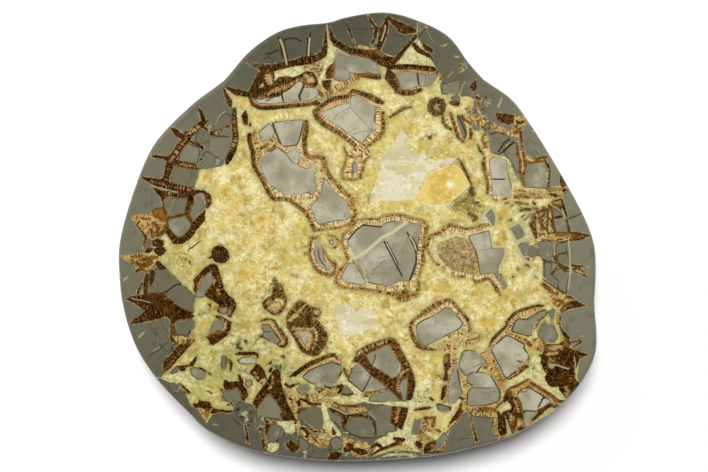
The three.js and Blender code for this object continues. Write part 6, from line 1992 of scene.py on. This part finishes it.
def paint_section(mesh, place, size):
    """Works out every layer of the section's pattern at each point, and keeps it in the mesh."""
    flat = as_traced(place)
    height = place[:, 2]
    buried = np.where(height < size["edge_height"] - size["roll_depth"] - 1, BURIED, 0.0)
    field = -layer_depth(flat, shapes(CALCITE_FIELD), 60)[0]
    # each fragment's listed lightness, which holds its own grey and painted reflection of the lamps
    tone_and_reflection = np.full(len(flat), 0.5)
    halo, mud, mud_top = (np.full(len(flat), UNREACHED) for _ in range(3))
    for layer, kept in ((MUDSTONE, mud), (MUDSTONE_IN_ARAGONITE, mud_top)):
        for lead, corners in traced(layer, 2, 2):
            some = near(flat, corners, 9)
            depth, _ = patch_depth(flat[some], corners)
            nearer = depth > kept[some]
            kept[some[nearer]] = depth[nearer]
            tone_and_reflection[some[nearer]] = lead[0]
            halo[some] = np.maximum(halo[some], lead[1] + depth)
    brown, brown_way = layer_depth(flat, both(ARAGONITE_PATCHES, ARAGONITE_BANDS))
    cream, cream_way = layer_depth(flat, both(CREAM_PATCHES, CREAM_BANDS))
    cream = np.maximum(cream, halo)
    cream_top, _ = layer_depth(flat, both(CREAM_IN_ARAGONITE_PATCHES, CREAM_IN_ARAGONITE_BANDS))
    pale, _ = layer_depth(flat, both(CLEAR_PATCHES, CLEAR_BANDS))
    white, _ = layer_depth(flat, shapes(WHITE_CALCITE))
    mixed, _ = layer_depth(flat, shapes(MIXED))
    gem, _ = layer_depth(flat, shapes(AMBER_CRYSTAL))
    veil, _ = layer_depth(flat, shapes(GREY_VEIL))
    inner = np.clip(1.6 - 1.2 * np.hypot(*((flat - GOLD_MIDDLE) / GOLD_REACH).T), 0, 1)
    painted_glint = np.clip(1.3 - np.hypot(*(flat - GEM_GLINT).T) / GEM_GLINT_SIZE, 0, 1)
    cool = np.clip((-flat[:, 0] - flat[:, 1] - COOL_FROM) / COOL_OVER, 0, 1)
    skin = np.clip((size["edge_height"] - SKIN_START - height) / SKIN_FADE, 0, 1)
    # dark spots: real halos round brown grains, and painted shade where they lie in the vug
    gloom = np.maximum(spots(flat, DARK_SPOTS), GREEN_SHARE * spots(flat, GREEN_SPOTS))
    # painted light and shade on the rind, lighter at the sides and darker at the top and bottom
    angle = np.degrees(np.arctan2(flat[:, 1], flat[:, 0]))
    rind_painted_light = np.interp(angle, RIND_ANGLES, RIND_PAINTED_LIGHT)
    set_vector(mesh, "matrix", field + buried, mud - buried, tone_and_reflection)
    set_vector(mesh, "aragonite", brown - buried, cream - buried, pale - buried)
    set_vector(mesh, "over", mud_top, cream_top, skin)
    set_vector(mesh, "tint_and_shade", spots(flat, HONEY_SPOTS), gloom, rind_painted_light)
    set_vector(mesh, "fibre", brown_way, cream_way, inner)
    set_vector(mesh, "crystal", white - buried, mixed - buried, spots(flat, MOTTLED_SPOTS))
    set_vector(mesh, "gem", gem - buried, veil, painted_glint)
    set_vector(mesh, "side", cool, cool, cool)
    lines = line_list(CRACKS_CLOSED, 0.0) + line_list(CALCITE_VEINS, 1.0)
    for number, values in enumerate(line_layers(flat, lines)):
        set_vector(mesh, f"line_{number}", *values.T)


# ---------------------------------------------------------------- operators


class NODULE_OT_stone(bpy.types.Operator):
    """Builds the whole stone with its polished face, natural back and open hollows"""

    bl_idname = "nodule.stone"
    bl_label = "Stone"

    def execute(self, context):
        outline = outline_of(context.scene)
        stone = make_mesh("stone", *stone_surface(outline, context.scene.nodule_sizes.divisions))
        cuts = [bowl(outline, *hollow) for hollow in HOLLOWS.values()]
        cuts += [crack_slot(outline, *crack) for crack in OPEN_CRACKS]
        cutters = [make_mesh(f"cut_{number}", *solid) for number, solid in enumerate(cuts)]
        cut_away(stone, cutters)
        paint_section(stone.data, points_of(stone.data), outline.size)
        stone.data.materials.clear()
        stone.data.materials.append(polished_section(context.scene.nodule_colours))
        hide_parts("septarian_nodule")
        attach(stone, "root")
        return {"FINISHED"}


class NODULE_OT_crust(bpy.types.Operator):
    """Grows the crust of small calcite crystals that lines each hollow"""

    bl_idname = "nodule.crust"
    bl_label = "Crystal crusts"

    def execute(self, context):
        outline = outline_of(context.scene)
        for seed, (name, hollow) in enumerate(HOLLOWS.items(), FIRST_SEED):
            points, faces = crust(outline, *hollow, CRYSTALS[name], seed)
            crystals = make_mesh(f"{name}_grown", points, faces, smooth=False)
            place = points_of(crystals.data)
            # painted shade by depth below the face, and the listed spots of painted shadow and stain
            deep = outline.height(*place[:, :2].T) - place[:, 2]
            dark = spots(as_traced(place), CAVITY_SHADE_AND_STAIN)
            set_vector(crystals.data, "hollow", deep, dark, dark)
            crystals.data.materials.append(crystal_calcite(f"{name}_calcite", "D2C068"))
            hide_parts(name)
            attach(crystals, "root")
        return {"FINISHED"}


def put(name, data, where=(0, 0, 0), turn=(0, 0, 0)):
    """A lamp or a camera in the scene, at a place in metres and turned by degrees."""
    made = bpy.data.objects.new(name, data)
    made.location = where
    made.rotation_euler = [math.radians(angle) for angle in turn]
    bpy.context.scene.collection.objects.link(made)
    return made


class NODULE_OT_stage(bpy.types.Operator):
    """Sets the floor, the lamps and the camera"""

    bl_idname = "nodule.stage"
    bl_label = "Stage"

    def execute(self, context):
        sizes = context.scene.nodule_stage
        corners = [(x * FLOOR_REACH, y * FLOOR_REACH, 0) for x, y in ((-1, -1), (1, -1), (1, 1), (-1, 1))]
        floor = make_mesh("floor", corners, [(0, 1, 2, 3)])
        # Seamless white paper, uncoated: matt, so it shows the stone's soft shadow and no glare.
        paper, _, shader = new_material("white_paper_sweep")
        shader.inputs["Base Color"].default_value = linear("F8F8F8")
        shader.inputs["Roughness"].default_value = 0.9
        floor.data.materials.append(paper)

        world = bpy.data.worlds.new("studio")
        world.use_nodes = True
        sky = world.node_tree
        up = add(sky, "SeparateXYZ", {0: add(sky, "TexCoord").outputs["Generated"]}).outputs[2]
        glow = add(sky, "MapRange", {0: up, 1: 0.0, 2: 1.0, 3: SKY_GLOW[0], 4: SKY_GLOW[1]}).outputs[0]
        sky.links.new(glow, sky.nodes["Background"].inputs[1])
        sky.nodes["Background"].inputs[0].default_value = (1, 1, 1, 1)
        context.scene.world = world
        sun = bpy.data.lights.new("overhead_diffuser", "SUN")
        sun.energy, sun.angle = sizes.sun_strength, math.radians(SUN_SPREAD)
        put("overhead_diffuser", sun, turn=SUN_TURN).visible_glossy = False
        lamp = bpy.data.lights.new("softbox", "AREA")
        lamp.size, lamp.energy = 0.8, 3
        put("softbox", lamp, SOFTBOX_PLACE, SOFTBOX_TURN)

        camera = bpy.data.cameras.new("camera")
        camera.lens = sizes.lens
        camera.clip_start, camera.clip_end = 0.05, 20
        away = sizes.view_width / camera.sensor_width * sizes.lens
        left, up = np.subtract(EYE[:2], OUTLINE_MIDDLE)
        context.scene.camera = put("camera", camera, (left * MM, up * MM, RIM_HEIGHT * MM + away))
        context.scene.view_settings.view_transform = "Standard"
        return {"FINISHED"}


class NODULE_PT_panel(bpy.types.Panel):
    """Lists the steps that build the nodule"""

    bl_label = "Septarian Nodule"
    bl_idname = "NODULE_PT_panel"
    bl_space_type = "VIEW_3D"
    bl_region_type = "UI"
    bl_category = "Nodule"

    def draw(self, context):
        for step in STEPS:
            self.layout.operator(step.bl_idname)


STEPS = (NODULE_OT_stone, NODULE_OT_crust, NODULE_OT_stage)
GROUPS = {"nodule_sizes": StoneSizes, "nodule_colours": StoneColours, "nodule_stage": StageSizes}


def register():
    """Adds the property groups, the operators and the panel."""
    for made in (*GROUPS.values(), *STEPS, NODULE_PT_panel):
        bpy.utils.register_class(made)
    for name, group in GROUPS.items():
        setattr(bpy.types.Scene, name, bpy.props.PointerProperty(type=group))


def unregister():
    """Takes them away again."""
    for name in GROUPS:
        delattr(bpy.types.Scene, name)
    for made in (NODULE_PT_panel, *reversed(STEPS), *GROUPS.values()):
        bpy.utils.unregister_class(made)


def main():
    """Builds everything in order."""
    register()
    for step in STEPS:
        group, name = step.bl_idname.split(".")
        getattr(getattr(bpy.ops, group), name)()


if __name__ == "__main__":
    main()
